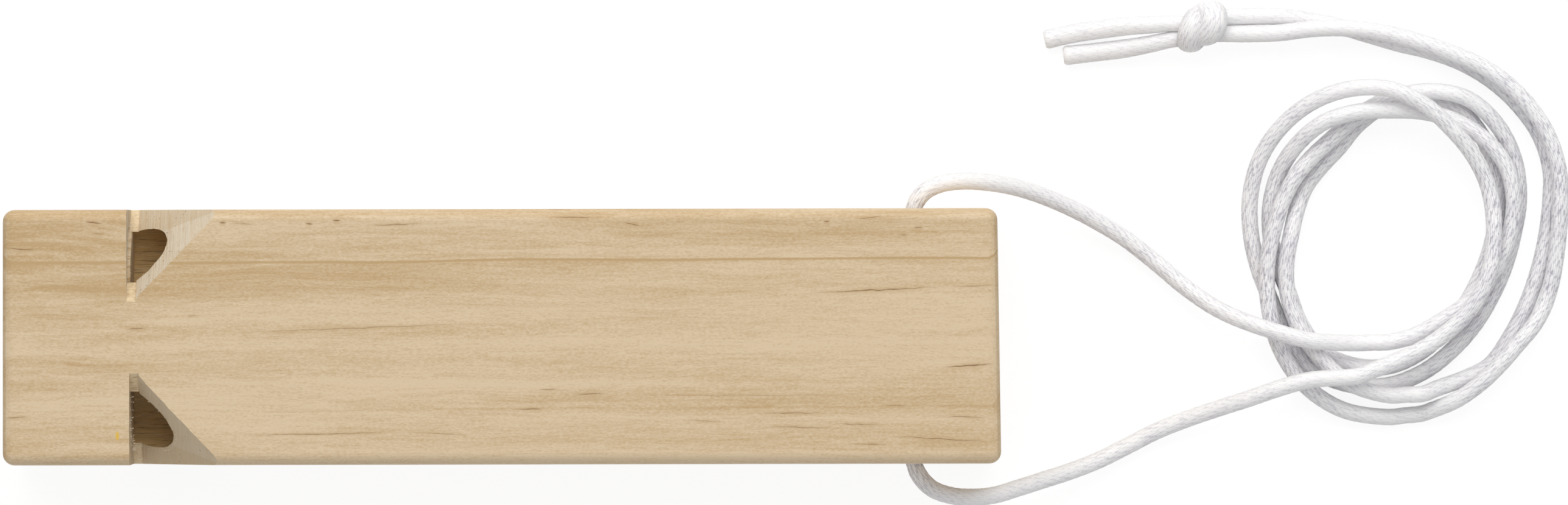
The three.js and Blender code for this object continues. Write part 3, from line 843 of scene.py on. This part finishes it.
def satin_braid(finish):
    """White satin yarn in a braid, its picks laid out by the tube's own map."""
    material, s, shader = new_finish(
        "satin braid",
        Roughness=0.42,
        IOR=1.5,
        Anisotropic=0.5,
        Sheen_Weight=0.35,
        Sheen_Roughness=0.5,
        Subsurface_Weight=1.0,
        Subsurface_Scale=0.0015,
        Subsurface_Radius=(1.0, 1.0, 1.0),
    )
    place = s.place_mm()
    stray = s.noise(s.scaled(place, (0.9, 0.9, 0.9)), detail=2.0)
    round_it, along, _ = s.split(s.add("ShaderNodeUVMap", uv_map=BRAID_MAP).outputs[0])
    along = s.math("ADD", along, s.math("MULTIPLY_ADD", stray, 1.2, -0.6))

    # Each yarn shows as a grain of rice, half a pick on from its neighbours.
    slant = s.math("MULTIPLY", s.math("MULTIPLY_ADD", round_it, 0.5, along), 0.8)
    grains = s.add(
        "ShaderNodeTexVoronoi",
        {"Vector": s.joined(X=round_it, Y=slant), "Scale": 1.0, "Randomness": 0.4},
        voronoi_dimensions="2D",
        feature="F1",
    ).outputs["Distance"]
    groove = s.between(grains, 0.24, 0.62)
    painted_sheen_patches = s.between(s.noise(s.scaled(place, (0.3, 0.3, 0.3)), detail=2.0), 0.4, 0.66)
    fine = s.noise(s.scaled(place, (2.5, 2.5, 2.5)), detail=2.0)

    # Painted shade: where the cord runs across the light, the grooves between the yarns are painted darker,
    # and grey sheen patches are painted on the satin.
    run = s.add("ShaderNodeAttribute", attribute_name=PAINTED_SHADE_ATTRIBUTE).outputs["Fac"]
    depth = s.math("MULTIPLY_ADD", run, 0.65, 0.35)
    shade = s.math("MULTIPLY", s.math("MULTIPLY", groove, s.between(fine, 0.35, 0.65, 0.4, 0.85)), depth)
    shade = s.math("ADD", shade, s.math("MULTIPLY", s.math("MULTIPLY", painted_sheen_patches, run), 0.22), clamp=True)
    colour = s.mix(shade, rgba(finish.cord), rgba(finish.cord_shade))
    dress(s, shader, colour, s.math("SUBTRACT", 1.0, grains), 0.7, 0.0001)
    tangent = s.add("ShaderNodeTangent", direction_type="UV_MAP", uv_map=BRAID_MAP)
    s.plug(shader.inputs["Tangent"], tangent.outputs[0])
    return material


FINISHES = {}


def finishes():
    """The materials by name, made once."""
    if not FINISHES:
        finish = bpy.context.scene.whistle_finish
        figure = pine_figure(finish)
        FINISHES["planed"] = planed_pine(figure)
        FINISHES["end"] = end_grain_pine(figure, finish)
        FINISHES["sawn"] = sawn_pine(figure, finish)
        FINISHES["kerf"] = kerf_pine(figure, finish)
        FINISHES["drilled"] = drilled_pine(figure, finish)
        FINISHES["dowel"] = dowel_wood(finish)
        FINISHES["fibre"] = torn_fibre(finish)
        FINISHES["braid"] = satin_braid(finish)
    return FINISHES


# ---- Block, plugs and torn fibres ----


def bore_axis(corner, block):
    """The place of a bore's axis in the block's section."""
    side, rise = CORNERS[corner]
    middle = (BLOCK_LOW + BLOCK_HIGH) / 2
    half = BLOCK_SIZE / 2
    drift_y, drift_z = BORE_DRIFTS[corner]
    return (
        middle.y + side * (half.y - block.bore_inset) + drift_y,
        middle.z + rise * (half.z - block.bore_inset) + drift_z,
    )


def edge_frame(corner):
    """A frame at one long edge: X along the block, Z out through the edge."""
    side, rise = CORNERS[corner]
    out = Vector((0, side, rise)).normalized()
    across = out.cross(Vector((1, 0, 0)))
    edge = Vector(
        (
            BLOCK_LOW.x + WINDOW_DRIFTS[corner],
            BLOCK_HIGH.y if side > 0 else BLOCK_LOW.y,
            BLOCK_HIGH.z if rise > 0 else BLOCK_LOW.z,
        )
    )
    turn = Matrix((Vector((1, 0, 0)), across, out)).transposed().to_4x4()
    return Matrix.Translation(edge) @ turn


def window_profile(block):
    """Places down the square wall, along the saw cut and up the ramp, each with its way out of the wood."""
    depth = block.window_reach / math.sqrt(2)
    wall = block.window_start
    foot = wall + block.saw_width
    rise = depth / block.ramp_length
    down = WINDOW_OVERCUT + depth + KERF_DROP
    places = [(wall, WINDOW_OVERCUT - i * down / WALL_STEPS, (1, 0)) for i in range(WALL_STEPS)]
    for i in range(KERF_STEPS + 1):
        places.append((wall + i * block.saw_width / KERF_STEPS, -depth - KERF_DROP, (0, 1)))
    along = block.ramp_length + WINDOW_OVERCUT / rise
    way = tuple(Vector((-rise, 1)).normalized())
    for i in range(RAMP_STEPS + 1):
        places.append((foot + i * along / RAMP_STEPS, -depth + rise * i * along / RAMP_STEPS, way))
    return places


def saw_marks(x, w, on_ramp, seed):
    """How far a window's face stands out at a place: the saw's ribs, torn wood and a soft swell."""
    ribs = roughness_at(x * 2600, w * 60, 0, seed) * (0.05 if on_ramp else 0.02)
    torn = roughness_at(x * 500, w * 900, 3, seed) * 0.05
    swell = roughness_at(x * 110, w * 90, 8, seed) * (0.10 if on_ramp else 0.04)
    return (ribs + torn + swell) * MM


def window_cutter(corner, block, seed):
    """A closed cutter for one window, its wall torn, its ramp ribbed by the saw."""
    profile = window_profile(block)
    place = edge_frame(corner)
    rows, row = len(profile), WINDOW_COLUMNS + 1
    vertices = []
    for i, (x, u, way) in enumerate(profile):
        for j in range(row):
            w = -WINDOW_HALF_WIDTH + 2 * WINDOW_HALF_WIDTH * j / WINDOW_COLUMNS
            inside = 0 < i < rows - 1 and 0 < j < WINDOW_COLUMNS
            lift = saw_marks(x, w, way[0] < 0, seed) if inside else 0.0
            vertices.append(place @ Vector((x + lift * way[0], w, u + lift * way[1])))
    faces = [
        (i * row + j, i * row + j + 1, (i + 1) * row + j + 1, (i + 1) * row + j)
        for i in range(rows - 1)
        for j in range(WINDOW_COLUMNS)
    ]
    last = (rows - 1) * row
    faces.append((*range(row), *range(last + WINDOW_COLUMNS, last - 1, -1)))
    faces.append(tuple(i * row for i in range(rows)))
    faces.append(tuple(i * row + WINDOW_COLUMNS for i in range(rows)))
    materials = [finishes()["sawn"], finishes()["kerf"]]
    cutter = fresh_object(f"window_cutter_{corner}", vertices, faces, materials)
    in_kerf = range(WALL_STEPS * WINDOW_COLUMNS, (WALL_STEPS + KERF_STEPS) * WINDOW_COLUMNS)
    cutter.data.polygons.foreach_set("material_index", [int(i in in_kerf) for i in range(len(faces))])
    return outward(cutter)


def ring_tube(name, rings, material):
    """A closed tube through rings of points, with a flat cap at each end."""
    sides = len(rings[0])
    faces = [
        (i * sides + j, i * sides + (j + 1) % sides, (i + 1) * sides + (j + 1) % sides, (i + 1) * sides + j)
        for i in range(len(rings) - 1)
        for j in range(sides)
    ]
    faces.append(tuple(range(sides)))
    faces.append(tuple(range((len(rings) - 1) * sides, len(rings) * sides)))
    return outward(fresh_object(name, [point for ring in rings for point in ring], faces, [material]))


def bore_cutter(corner, block, seed):
    """A closed cutter for one bore, ridged along the grain, finest where its window opens it."""
    axis_y, axis_z = bore_axis(corner, block)
    start, end = BLOCK_LOW.x - CUTTER_OVERRUN, BLOCK_LOW.x + BORE_DEPTHS[corner]
    fine_from, fine_to = BLOCK_LOW.x + 0.018, BLOCK_LOW.x + 0.042
    stations = [start, *np.arange(fine_from, fine_to, 0.0006), *np.arange(fine_to, end - 0.002, 0.008), end]
    rings = []
    for x in stations:
        ring = []
        for j in range(BORE_SIDES):
            turn = 2 * math.pi * (j + 0.5) / BORE_SIDES
            c, s = math.cos(turn), math.sin(turn)
            torn = roughness_at(x * 160, c * 14, s * 14, seed) * 0.07
            torn += roughness_at(x * 500, c * 34, s * 34, seed + 5) * 0.04
            radius = block.bore_diameter / 2 + torn * MM
            ring.append((x, axis_y + radius * c, axis_z + radius * s))
        rings.append(ring)
    return ring_tube(f"bore_cutter_{corner}", rings, finishes()["drilled"])


def cord_hole_cutter(block):
    """A closed cutter for the cross hole, with a softened mouth at each end."""
    middle = (CORD_LOW + CORD_HIGH) / 2
    half, radius = BLOCK_SIZE.y / 2, block.hole_diameter / 2
    mouth = [
        (half + CUTTER_OVERRUN, radius + HOLE_FLARE),
        (half, radius + HOLE_FLARE),
        (half - 0.0003, radius + HOLE_FLARE * 0.45),
        (half - 0.0009, radius),
    ]
    stations = [(-along, r) for along, r in mouth] + mouth[::-1]
    turns = [2 * math.pi * j / HOLE_SIDES for j in range(HOLE_SIDES)]
    rings = [
        [(middle.x + r * math.cos(turn), middle.y + along, middle.z + r * math.sin(turn)) for turn in turns]
        for along, r in stations
    ]
    return ring_tube("cord_hole_cutter", rings, finishes()["drilled"])


def rounded_bar(name, low, high, radius, segments, materials):
    """A box with rounded edges."""
    sheet = bmesh.new()
    bmesh.ops.create_cube(sheet, size=1.0)
    bmesh.ops.scale(sheet, vec=high - low, verts=sheet.verts)
    bmesh.ops.translate(sheet, vec=(high + low) / 2, verts=sheet.verts)
    bmesh.ops.bevel(sheet, geom=sheet.edges[:], offset=radius, segments=segments, profile=0.5, affect="EDGES")
    made = fresh_object(name, [], [], materials)
    sheet.to_mesh(made.data)
    sheet.free()
    return made


def end_faces_to(obj, index):
    """Gives a block's two ends another of its materials."""
    for face in obj.data.polygons:
        at_end = face.center.x < BLOCK_LOW.x + 0.001 or face.center.x > BLOCK_HIGH.x - 0.001
        if at_end and abs(face.normal.x) > 0.75:
            face.material_index = index


class WHISTLE_OT_block(bpy.types.Operator):
    """Makes the pine block with its bores, windows and cord hole"""

    bl_idname = "whistle.block"
    bl_label = "Pine Block"

    def execute(self, context):
        block = context.scene.whistle_block
        materials = [finishes()["planed"], finishes()["end"]]
        body = rounded_bar("whistle_block", BLOCK_LOW, BLOCK_HIGH, block.edge_radius, 6, materials)
        end_faces_to(body, 1)
        cutters = [bore_cutter(corner, block, i) for i, corner in enumerate(CORNERS)]
        cutters += [window_cutter(corner, block, i) for i, corner in enumerate(CORNERS)]
        cutters.append(cord_hole_cutter(block))
        drop_crumbs(cut(body, cutters))
        if len(body.data.polygons) < FEWEST_CUT_FACES:
            raise RuntimeError("the block's cuts failed")
        smooth_by_angle(body, 38)
        even_normals(body)
        settle(body, block)
        finished(body, "pine", "block")
        return {"FINISHED"}


def plug_rings(corner, block):
    """Rings of points along one plug, with eased ends and a flat that leaves the windway open."""
    axis_y, axis_z = bore_axis(corner, block)
    low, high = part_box(f"fipple_plug_{corner}")
    out = Vector(CORNERS[corner]).normalized()
    radius = block.bore_diameter / 2 - PLUG_CLEARANCE
    flat = block.bore_diameter / 2 - block.windway_height
    eased = radius - PLUG_EASE
    rings = []
    for x, r in ((low.x, eased), (low.x + PLUG_EASE, radius), (high.x - PLUG_EASE, radius), (high.x, eased)):
        ring = []
        for j in range(PLUG_SIDES):
            turn = 2 * math.pi * j / PLUG_SIDES
            spot = Vector((math.cos(turn), math.sin(turn))) * r
            over = spot.dot(out) - (flat - (radius - r))
            if over > 0:
                spot -= out * over
            ring.append((x, axis_y + spot.x, axis_z + spot.y))
        rings.append(ring)
    return rings


class WHISTLE_OT_plugs(bpy.types.Operator):
    """Makes the four dowel plugs in the blow end"""

    bl_idname = "whistle.plugs"
    bl_label = "Fipple Plugs"

    def execute(self, context):
        block = context.scene.whistle_block
        for corner in CORNERS:
            plug = ring_tube(f"dowel_plug_{corner}", plug_rings(corner, block), finishes()["dowel"])
            smooth_by_angle(plug, 32)
            settle(plug, block)
            finished(plug, "dowel", f"fipple_plug_{corner}")
        return {"FINISHED"}


def sliver(vertices, faces, root, way, across, length, width, bend):
    """Adds one tapered, bent fibre with three sides."""
    first = len(vertices)
    steps = 4
    third = way.cross(across).normalized()
    for i in range(steps):
        share = i / steps
        spot = root + way * length * share + third * bend * share * share
        w = width * (1 - share * 0.7)
        for j in range(3):
            turn = 2 * math.pi * j / 3
            vertices.append(spot + across * (w * math.cos(turn)) + third * (w * 0.5 * math.sin(turn)))
    vertices.append(root + way * length + third * bend)
    tip = len(vertices) - 1
    faces.append((first, first + 2, first + 1))
    for i in range(steps):
        for j in range(3):
            a, b = first + 3 * i + j, first + 3 * i + (j + 1) % 3
            faces.append((a, b, b + 3, a + 3) if i < steps - 1 else (a, b, tip))


def opening_rim(corner, block):
    """Points round the hole that a bore breaks in its window, up the ramp and beside the square wall."""
    place = edge_frame(corner)
    depth = block.window_reach / math.sqrt(2)
    slope = depth / block.ramp_length
    foot = block.window_start + block.saw_width
    axis = -block.bore_inset * math.sqrt(2)
    radius = block.bore_diameter / 2
    points = []
    for j in range(RIM_POINTS):
        w = radius * (-0.96 + 1.92 * j / (RIM_POINTS - 1))
        u = axis + math.sqrt(radius * radius - w * w)
        if u > -depth:
            points.append(place @ Vector((foot + (u + depth) / slope, w, u)))
        if u > -depth and j % 2:
            points.append(place @ Vector((block.window_start + 0.0002, w, u)))
    return points


class WHISTLE_OT_torn_fibres(bpy.types.Operator):
    """Makes the pale fibres torn up round the windows' openings"""

    bl_idname = "whistle.torn_fibres"
    bl_label = "Torn Fibres"

    def execute(self, context):
        block = context.scene.whistle_block
        dice = np.random.default_rng(11)
        vertices, faces = [], []
        for corner, (side, rise) in CORNERS.items():
            out = Vector((0, side, rise)).normalized()
            across = out.cross(Vector((1, 0, 0)))
            rim = opening_rim(corner, block)
            for _ in range(FIBRES_PER_WINDOW):
                spot = rim[int(dice.integers(len(rim)))]
                aside, up = float(dice.normal(0, 0.6)), float(dice.uniform(-0.2, 0.5))
                way = (Vector((-1, 0, 0)) + across * aside + out * up).normalized()
                root = spot + Vector((float(dice.uniform(0.0, 0.0005)), 0, 0)) - out * 0.00005
                length = float(dice.uniform(0.15, 0.55)) * MM
                width = float(dice.uniform(0.05, 0.12)) * MM
                bend = float(dice.uniform(-0.2, 0.2)) * MM
                sliver(vertices, faces, root, way, across, length, width, bend)
        fibres = outward(fresh_object("window_torn_fibres", vertices, faces, [finishes()["fibre"]]))
        settle(fibres, block)
        finished(fibres, "pine")
        return {"FINISHED"}


# ---- Cord ----


def eased(t, here, slope_in, there, slope_out):
    """A cubic from one value to the next, with the slope at each end."""
    return (
        here * (2 * t**3 - 3 * t**2 + 1)
        + slope_in * (t**3 - 2 * t**2 + t)
        + there * (3 * t**2 - 2 * t**3)
        + slope_out * (t**3 - t**2)
    )


def smooth_through(values, place):
    """A smooth curve through evenly spaced values, read at any place between them."""
    last = len(values) - 1
    i = min(int(place), last - 1)
    before, here, there, after = (values[min(max(k, 0), last)] for k in (i - 1, i, i + 1, i + 2))
    return eased(place - i, here, (there - before) / 2, there, (after - here) / 2)


def travelled_along(points):
    """How far along a route each of its points lies."""
    return np.concatenate([[0], np.cumsum(np.linalg.norm(np.diff(points, axis=0), axis=1))])


def smooth_route(points, step):
    """A smooth curve through points, sampled at an even step."""
    p = np.array(points, float)
    p = np.vstack([2 * p[0] - p[1], p, 2 * p[-1] - p[-2]])
    t = np.linspace(0, 1, 24, endpoint=False)[:, None]
    fine = []
    for i in range(1, len(p) - 2):
        p0, p1, p2, p3 = p[i - 1 : i + 3]
        t0, t1, t2 = (max(np.linalg.norm(b - a) ** 0.5, 1e-9) for a, b in ((p0, p1), (p1, p2), (p2, p3)))
        m1 = (p1 - p0) / t0 - (p2 - p0) / (t0 + t1) + (p2 - p1) / t1
        m2 = (p2 - p1) / t1 - (p3 - p1) / (t1 + t2) + (p3 - p2) / t2
        fine.append(eased(t, p1, m1 * t1, p2, m2 * t1))
    fine = np.vstack([*fine, p[-2][None]])
    along = travelled_along(fine)
    count = max(int(round(along[-1] / step)), 2)
    even = np.linspace(0, along[-1], count + 1)
    return np.stack([np.interp(even, along, fine[:, k]) for k in range(3)], axis=1)


def coil_point(strand, turns):
    """A strand's centre after some turns of the coil, which runs anticlockwise seen from above."""
    hour = turns * HOURS_PER_TURN
    angle = turns * 2 * math.pi
    reach = smooth_through(REACH_MM[strand], hour + 1) * MM
    layer = max(smooth_through(LAYER[strand], hour + 1), 0.0)
    x = COIL_MIDDLE[0] + reach * math.sin(angle)
    y = COIL_MIDDLE[1] - reach * math.cos(angle)
    return np.array((x, y, bpy.context.scene.whistle_cord.diameter / 2 + layer * LAYER_PITCH))


def coil_lead(strand, turns, way):
    """The two points where a free stretch runs straight into or out of the coil."""
    cord = bpy.context.scene.whistle_cord
    ahead = coil_point(strand, turns + 0.001) - coil_point(strand, turns - 0.001)
    ahead[2] = 0
    ahead *= way / np.linalg.norm(ahead)
    joint = coil_point(strand, turns) + ahead * (cord.diameter + 0.00015)
    return [joint, joint + ahead * cord.diameter]


def strand_sections(strand):
    """Points of one strand: to the coil, round it, on to the knot, through the knot, and its tail."""
    middle = (CORD_LOW + CORD_HIGH) / 2
    side = 1 if strand == "left" else -1
    hole = [(middle.x, side * y, middle.z) for y in (0, 0.005, 0.010, 0.015, 0.0192)]
    legs = np.array(LEG_POINTS_MM[strand]) * MM
    coil = [coil_point(strand, i / STEPS_PER_TURN) for i in range(COIL_TURNS * STEPS_PER_TURN + 1)]
    run = np.array(RUN_POINTS_MM[strand]) * MM
    knot = (np.array(CORE_POINTS_MM[strand]) + np.array(KNOT_MM)) * MM
    tail = np.array(TAIL_POINTS_MM[strand]) * MM
    lead_in = coil_lead(strand, 0, -1)
    lead_out = coil_lead(strand, COIL_TURNS, 1)
    return [*hole, *legs, *lead_in[::-1]], coil, [*lead_out, *run], list(knot), list(tail)


def strand_route(strand, cord):
    """One strand's even route to its cut end, and the place inside the knot where its tail takes over."""
    leg, coil, run, knot, tail = strand_sections(strand)
    route = smooth_route([*leg, *coil, *run, *knot, *tail], cord.pick_length / 4)
    middle = int(np.argmin(np.linalg.norm(route - (knot[2] + knot[3]) / 2, axis=1)))
    return route, middle


def strand_squeeze(travelled, middle):
    """A strand's thickness along its way, as a share of the nominal one.

    The soft cord lies a little wider than its nominal size, most of all at the block and the knot. Its tail
    loosens past the knot, flares towards its end and is melted round at the cut.
    """
    near_knot = np.clip(1 - (travelled[middle] - travelled) / 0.03, 0, 1) * (travelled < travelled[middle])
    near_block = np.clip(1 - travelled / 0.13, 0, 1)
    squeeze = 1.04 + 0.06 * near_knot + 0.05 * near_block * (travelled > 0.022)
    loose = np.clip((travelled - travelled[middle] - 0.006) / 0.008, 0, 1)
    flare = np.clip(1 - (travelled[-1] - travelled) / 0.002, 0, 1)
    melted = np.clip(1 - (travelled[-1] - travelled) / 0.0007, 0, 1)
    return squeeze + (0.15 * loose + 0.06 * flare - 0.26 * melted**2)


def carried_frames(centres):
    """Side and upward directions carried along a route without twisting."""
    ahead = np.gradient(centres, axis=0)
    ahead /= np.linalg.norm(ahead, axis=1)[:, None]
    up = np.array((0.0, 0.0, 1.0))
    sides, ups = np.empty_like(centres), np.empty_like(centres)
    for i, direction in enumerate(ahead):
        aside = np.cross(up, direction)
        aside /= np.linalg.norm(aside)
        up = np.cross(direction, aside)
        sides[i], ups[i] = aside, up
    return sides, ups


def braid_radius(pick, squeeze, around, cord):
    """The braid's radius at each ring and column: ridges that swell at each pick, with grooves between."""
    column = np.arange(around) // 2
    ridge = (np.arange(around) % 2)[None, :]
    pick_place = (pick[:, None] + 0.5 * (column % 2)[None, :]) % 1.0
    swell = 1 - (np.abs(pick_place - 0.5) * 2) ** 3
    radius = cord.diameter / 2 - cord.relief * (1 - ridge * (0.35 + 0.65 * swell))
    return radius * squeeze[:, None]


def braided_tube(name, centres, travelled, frames, squeeze, picks=0, widen=1.0, painted_shade_share=1.0):
    """A tube with the braid's picks in relief, and a map that lays the braid out: u round it, v along it.

    widen stretches it in the table's plane, across its way. The last argument scales the painted shade that
    the satin takes where the tube runs across the light.
    """
    cord = bpy.context.scene.whistle_cord
    around = (picks or cord.picks_round) * 2
    rings = len(centres)
    pick = travelled / cord.pick_length
    radius = braid_radius(pick, squeeze, around, cord)
    turn = (np.arange(around) / around * 2 * math.pi)[None, :] + (travelled * cord.twist)[:, None]
    sides, ups = frames
    out = sides[:, None, :] * (radius * np.sin(turn))[:, :, None]
    out = out + ups[:, None, :] * (radius * np.cos(turn))[:, :, None]
    ahead = np.cross(sides, ups)
    flat = np.array((1.0, 0.0, 0.0)) - ahead * ahead[:, :1]
    flat /= np.linalg.norm(flat, axis=1)[:, None]
    out += flat[:, None, :] * ((out * flat[:, None, :]).sum(axis=2) * (widen - 1))[:, :, None]

    i, j = np.meshgrid(np.arange(rings - 1), np.arange(around), indexing="ij")
    k = (j + 1) % around
    quads = np.stack([(i + 1) * around + j, (i + 1) * around + k, i * around + k, i * around + j], axis=-1)
    faces = quads.reshape(-1, 4).tolist()
    faces.append(list(range(around)))
    faces.append(list(range((rings - 1) * around, rings * around))[::-1])
    tube = fresh_object(name, (centres[:, None, :] + out).reshape(-1, 3), faces, [finishes()["braid"]])

    u = np.stack([j, j + 1, j + 1, j], axis=-1).ravel() / 2
    v = np.stack([i + 1, i + 1, i, i], axis=-1).ravel()
    layout = np.zeros((len(tube.data.loops), 2), np.float32)
    layout[: u.size, 0] = u
    layout[: v.size, 1] = pick[v]
    layout[v.size :, 1] = pick[0]
    tube.data.uv_layers.new(name=BRAID_MAP).data.foreach_set("uv", layout.ravel())
    # Each point's share of a run across the light, which the satin's finish paints as shade.
    run = np.repeat(np.abs(ahead[:, 1]) * painted_shade_share, around).astype(np.float32)
    tube.data.attributes.new(PAINTED_SHADE_ATTRIBUTE, "FLOAT", "POINT").data.foreach_set("value", run)
    tube.data.shade_smooth()
    for cap in tube.data.polygons[-2:]:
        cap.use_smooth = False
    return outward(tube)


def strand_pieces(strand, cord):
    """One strand from the hole to the knot, its route, and its tail past the knot."""
    route, middle = strand_route(strand, cord)
    travelled = travelled_along(route)
    sides, ups = carried_frames(route)
    squeeze = strand_squeeze(travelled, middle)

    def stretch(name, first, last):
        part = slice(first, last + 1)
        return braided_tube(name, route[part], travelled[part], (sides[part], ups[part]), squeeze[part])

    tube = stretch(f"neck_cord_{strand}", 0, middle)
    tail = stretch(f"neck_cord_tail_{strand}", middle - 2, len(route) - 1)
    finished(tail, "cord", f"cord_tail_{strand}")
    return tube, route[: middle + 1], tail


def knot_bight(number, half_width, points, cord):
    """One of the knot's bights: a wide flat braid that narrows at both ends, where it goes into the knot."""
    route = smooth_route((np.array(points) + np.array(KNOT_MM)) * MM, cord.pick_length / 4)
    narrowed = 0.35 + 0.65 * np.sin(np.linspace(0.02, math.pi - 0.02, len(route))) ** 0.4
    return braided_tube(
        f"neck_cord_bight_{number}",
        route,
        travelled_along(route),
        carried_frames(route),
        narrowed * 1.06,
        picks=BIGHT_PICKS,
        widen=half_width * MM / (cord.diameter / 2),
        # The bights take less of the painted shade where they run across the light.
        painted_shade_share=0.6,
    )


class WHISTLE_OT_cord(bpy.types.Operator):
    """Makes both strands of the neck cord, their knot and their tails"""

    bl_idname = "whistle.cord"
    bl_label = "Neck Cord"

    def execute(self, context):
        cord = context.scene.whistle_cord
        strands = {strand: strand_pieces(strand, cord) for strand in ("left", "right")}
        bights = [knot_bight(i, half_width, points, cord) for i, (half_width, points) in enumerate(BIGHTS_MM)]
        knot = united("neck_cord_knot", *bights)
        finished(knot, "cord", "cord_knot")
        for strand, side in (("left", 1), ("right", -1)):
            tube, route, tail = strands[strand]
            nodes = [f"cord_leg_{strand}", f"cord_coil_{strand}", f"cord_run_{strand}"]
            nodes += ["cord_in_hole"] if strand == "left" else []
            finished(tube, "cord", *nodes)
        return {"FINISHED"}


# ---- Stage ----


def seen_ray(s):
    """1 for rays that come from the camera, a mirror or glass, else 0."""
    path = s.add("ShaderNodeLightPath")
    either = s.math("MAXIMUM", path.outputs["Is Camera Ray"], path.outputs["Is Glossy Ray"])
    return s.math("MAXIMUM", either, path.outputs["Is Transmission Ray"])


def pale_floor(colour):
    """A floor in its own colour for the light, and nearly white to the eye."""
    low, high, z = -FLOOR_REACH, FLOOR_REACH, FLOOR_TOP
    corners = [(low, low, z), (high, low, z), (high, high, z), (low, high, z)]
    floor = fresh_object("floor", corners, [(0, 1, 2, 3)])
    material = bpy.data.materials.new("pale floor")
    material.use_nodes = True
    material.node_tree.nodes.clear()
    s = Sheet(material.node_tree)
    matt = s.add("ShaderNodeBsdfDiffuse", {"Color": rgba(colour)}).outputs[0]
    glow = s.add("ShaderNodeEmission", {"Color": WHITE, "Strength": 1.1}).outputs[0]
    share = s.math("MULTIPLY", seen_ray(s), 0.8)
    mixed = s.add("ShaderNodeMixShader", {0: share, 1: matt, 2: glow}).outputs[0]
    s.add("ShaderNodeOutputMaterial", {"Surface": mixed})
    floor.data.materials.append(material)
    return floor


def soft_room(fill):
    """A world that lights softly from all round, and is white to the eye."""
    world = bpy.data.worlds.new("soft room")
    world.use_nodes = True
    world.node_tree.nodes.clear()
    s = Sheet(world.node_tree)
    light = s.add("ShaderNodeBackground", {"Color": WHITE, "Strength": fill}).outputs[0]
    seen = s.add("ShaderNodeBackground", {"Color": WHITE, "Strength": 1.0}).outputs[0]
    mixed = s.add("ShaderNodeMixShader", {0: seen_ray(s), 1: light, 2: seen}).outputs[0]
    s.add("ShaderNodeOutputWorld", {"Surface": mixed})
    return world


def aimed_light(name, place, target, size, power, colour):
    """A square soft light that looks at a target."""
    lamp = bpy.data.lights.new(name, "AREA")
    lamp.size, lamp.energy, lamp.color = size, power, colour
    made = bpy.data.objects.new(name, lamp)
    made.location = place
    made.rotation_euler = (target - Vector(place)).to_track_quat("-Z", "Y").to_euler()
    bpy.context.scene.collection.objects.link(made)


def overhead_camera(name, target, height, lens):
    """A camera that looks straight down on a target."""
    camera = bpy.data.cameras.new(name)
    camera.sensor_width = 36
    camera.lens = lens
    camera.clip_start, camera.clip_end = 0.1, 20
    eye = bpy.data.objects.new(name, camera)
    eye.location = (target.x, target.y, height)
    bpy.context.scene.collection.objects.link(eye)
    return eye


class WHISTLE_OT_stage(bpy.types.Operator):
    """Makes the floor, the lights, the world and the camera"""

    bl_idname = "whistle.stage"
    bl_label = "Stage"

    def execute(self, context):
        scene, stage = context.scene, context.scene.whistle_stage
        pale_floor(stage.ground)
        scene.world = soft_room(stage.fill)
        aimed_light("key_light", KEY_PLACE, VIEW_MIDDLE, KEY_SIZE, stage.key, KEY_COLOUR)
        scene.view_settings.view_transform = "Standard"
        scene.camera = overhead_camera("camera", VIEW_MIDDLE, stage.camera_height, stage.lens)
        return {"FINISHED"}


# ---- Panel and registration ----


class WHISTLE_PT_panel(bpy.types.Panel):
    """Lists the whistle's pieces and settings"""

    bl_label = "Train Whistle"
    bl_idname = "WHISTLE_PT_panel"
    bl_space_type = "VIEW_3D"
    bl_region_type = "UI"
    bl_category = "Whistle"

    def draw(self, context):
        layout = self.layout
        for operator in OPERATORS:
            layout.operator(operator.bl_idname)
        for name, group in SETTINGS.items():
            box = layout.box()
            for key in group.__annotations__:
                box.prop(getattr(context.scene, name), key)


SETTINGS = {
    "whistle_block": WhistleBlockSettings,
    "whistle_cord": WhistleCordSettings,
    "whistle_finish": WhistleFinishSettings,
    "whistle_stage": WhistleStageSettings,
}
OPERATORS = (WHISTLE_OT_stage, WHISTLE_OT_cord, WHISTLE_OT_block, WHISTLE_OT_plugs, WHISTLE_OT_torn_fibres)


def register():
    for made in (*SETTINGS.values(), *OPERATORS, WHISTLE_PT_panel):
        bpy.utils.register_class(made)
    for name, group in SETTINGS.items():
        setattr(bpy.types.Scene, name, PointerProperty(type=group))


def unregister():
    for name in SETTINGS:
        delattr(bpy.types.Scene, name)
    for made in (WHISTLE_PT_panel, *reversed(OPERATORS), *reversed(SETTINGS.values())):
        bpy.utils.unregister_class(made)


def main():
    register()
    bpy.ops.whistle.stage()
    bpy.ops.whistle.cord()
    bpy.ops.whistle.block()
    bpy.ops.whistle.plugs()
    bpy.ops.whistle.torn_fibres()


if __name__ == "__main__":
    main()
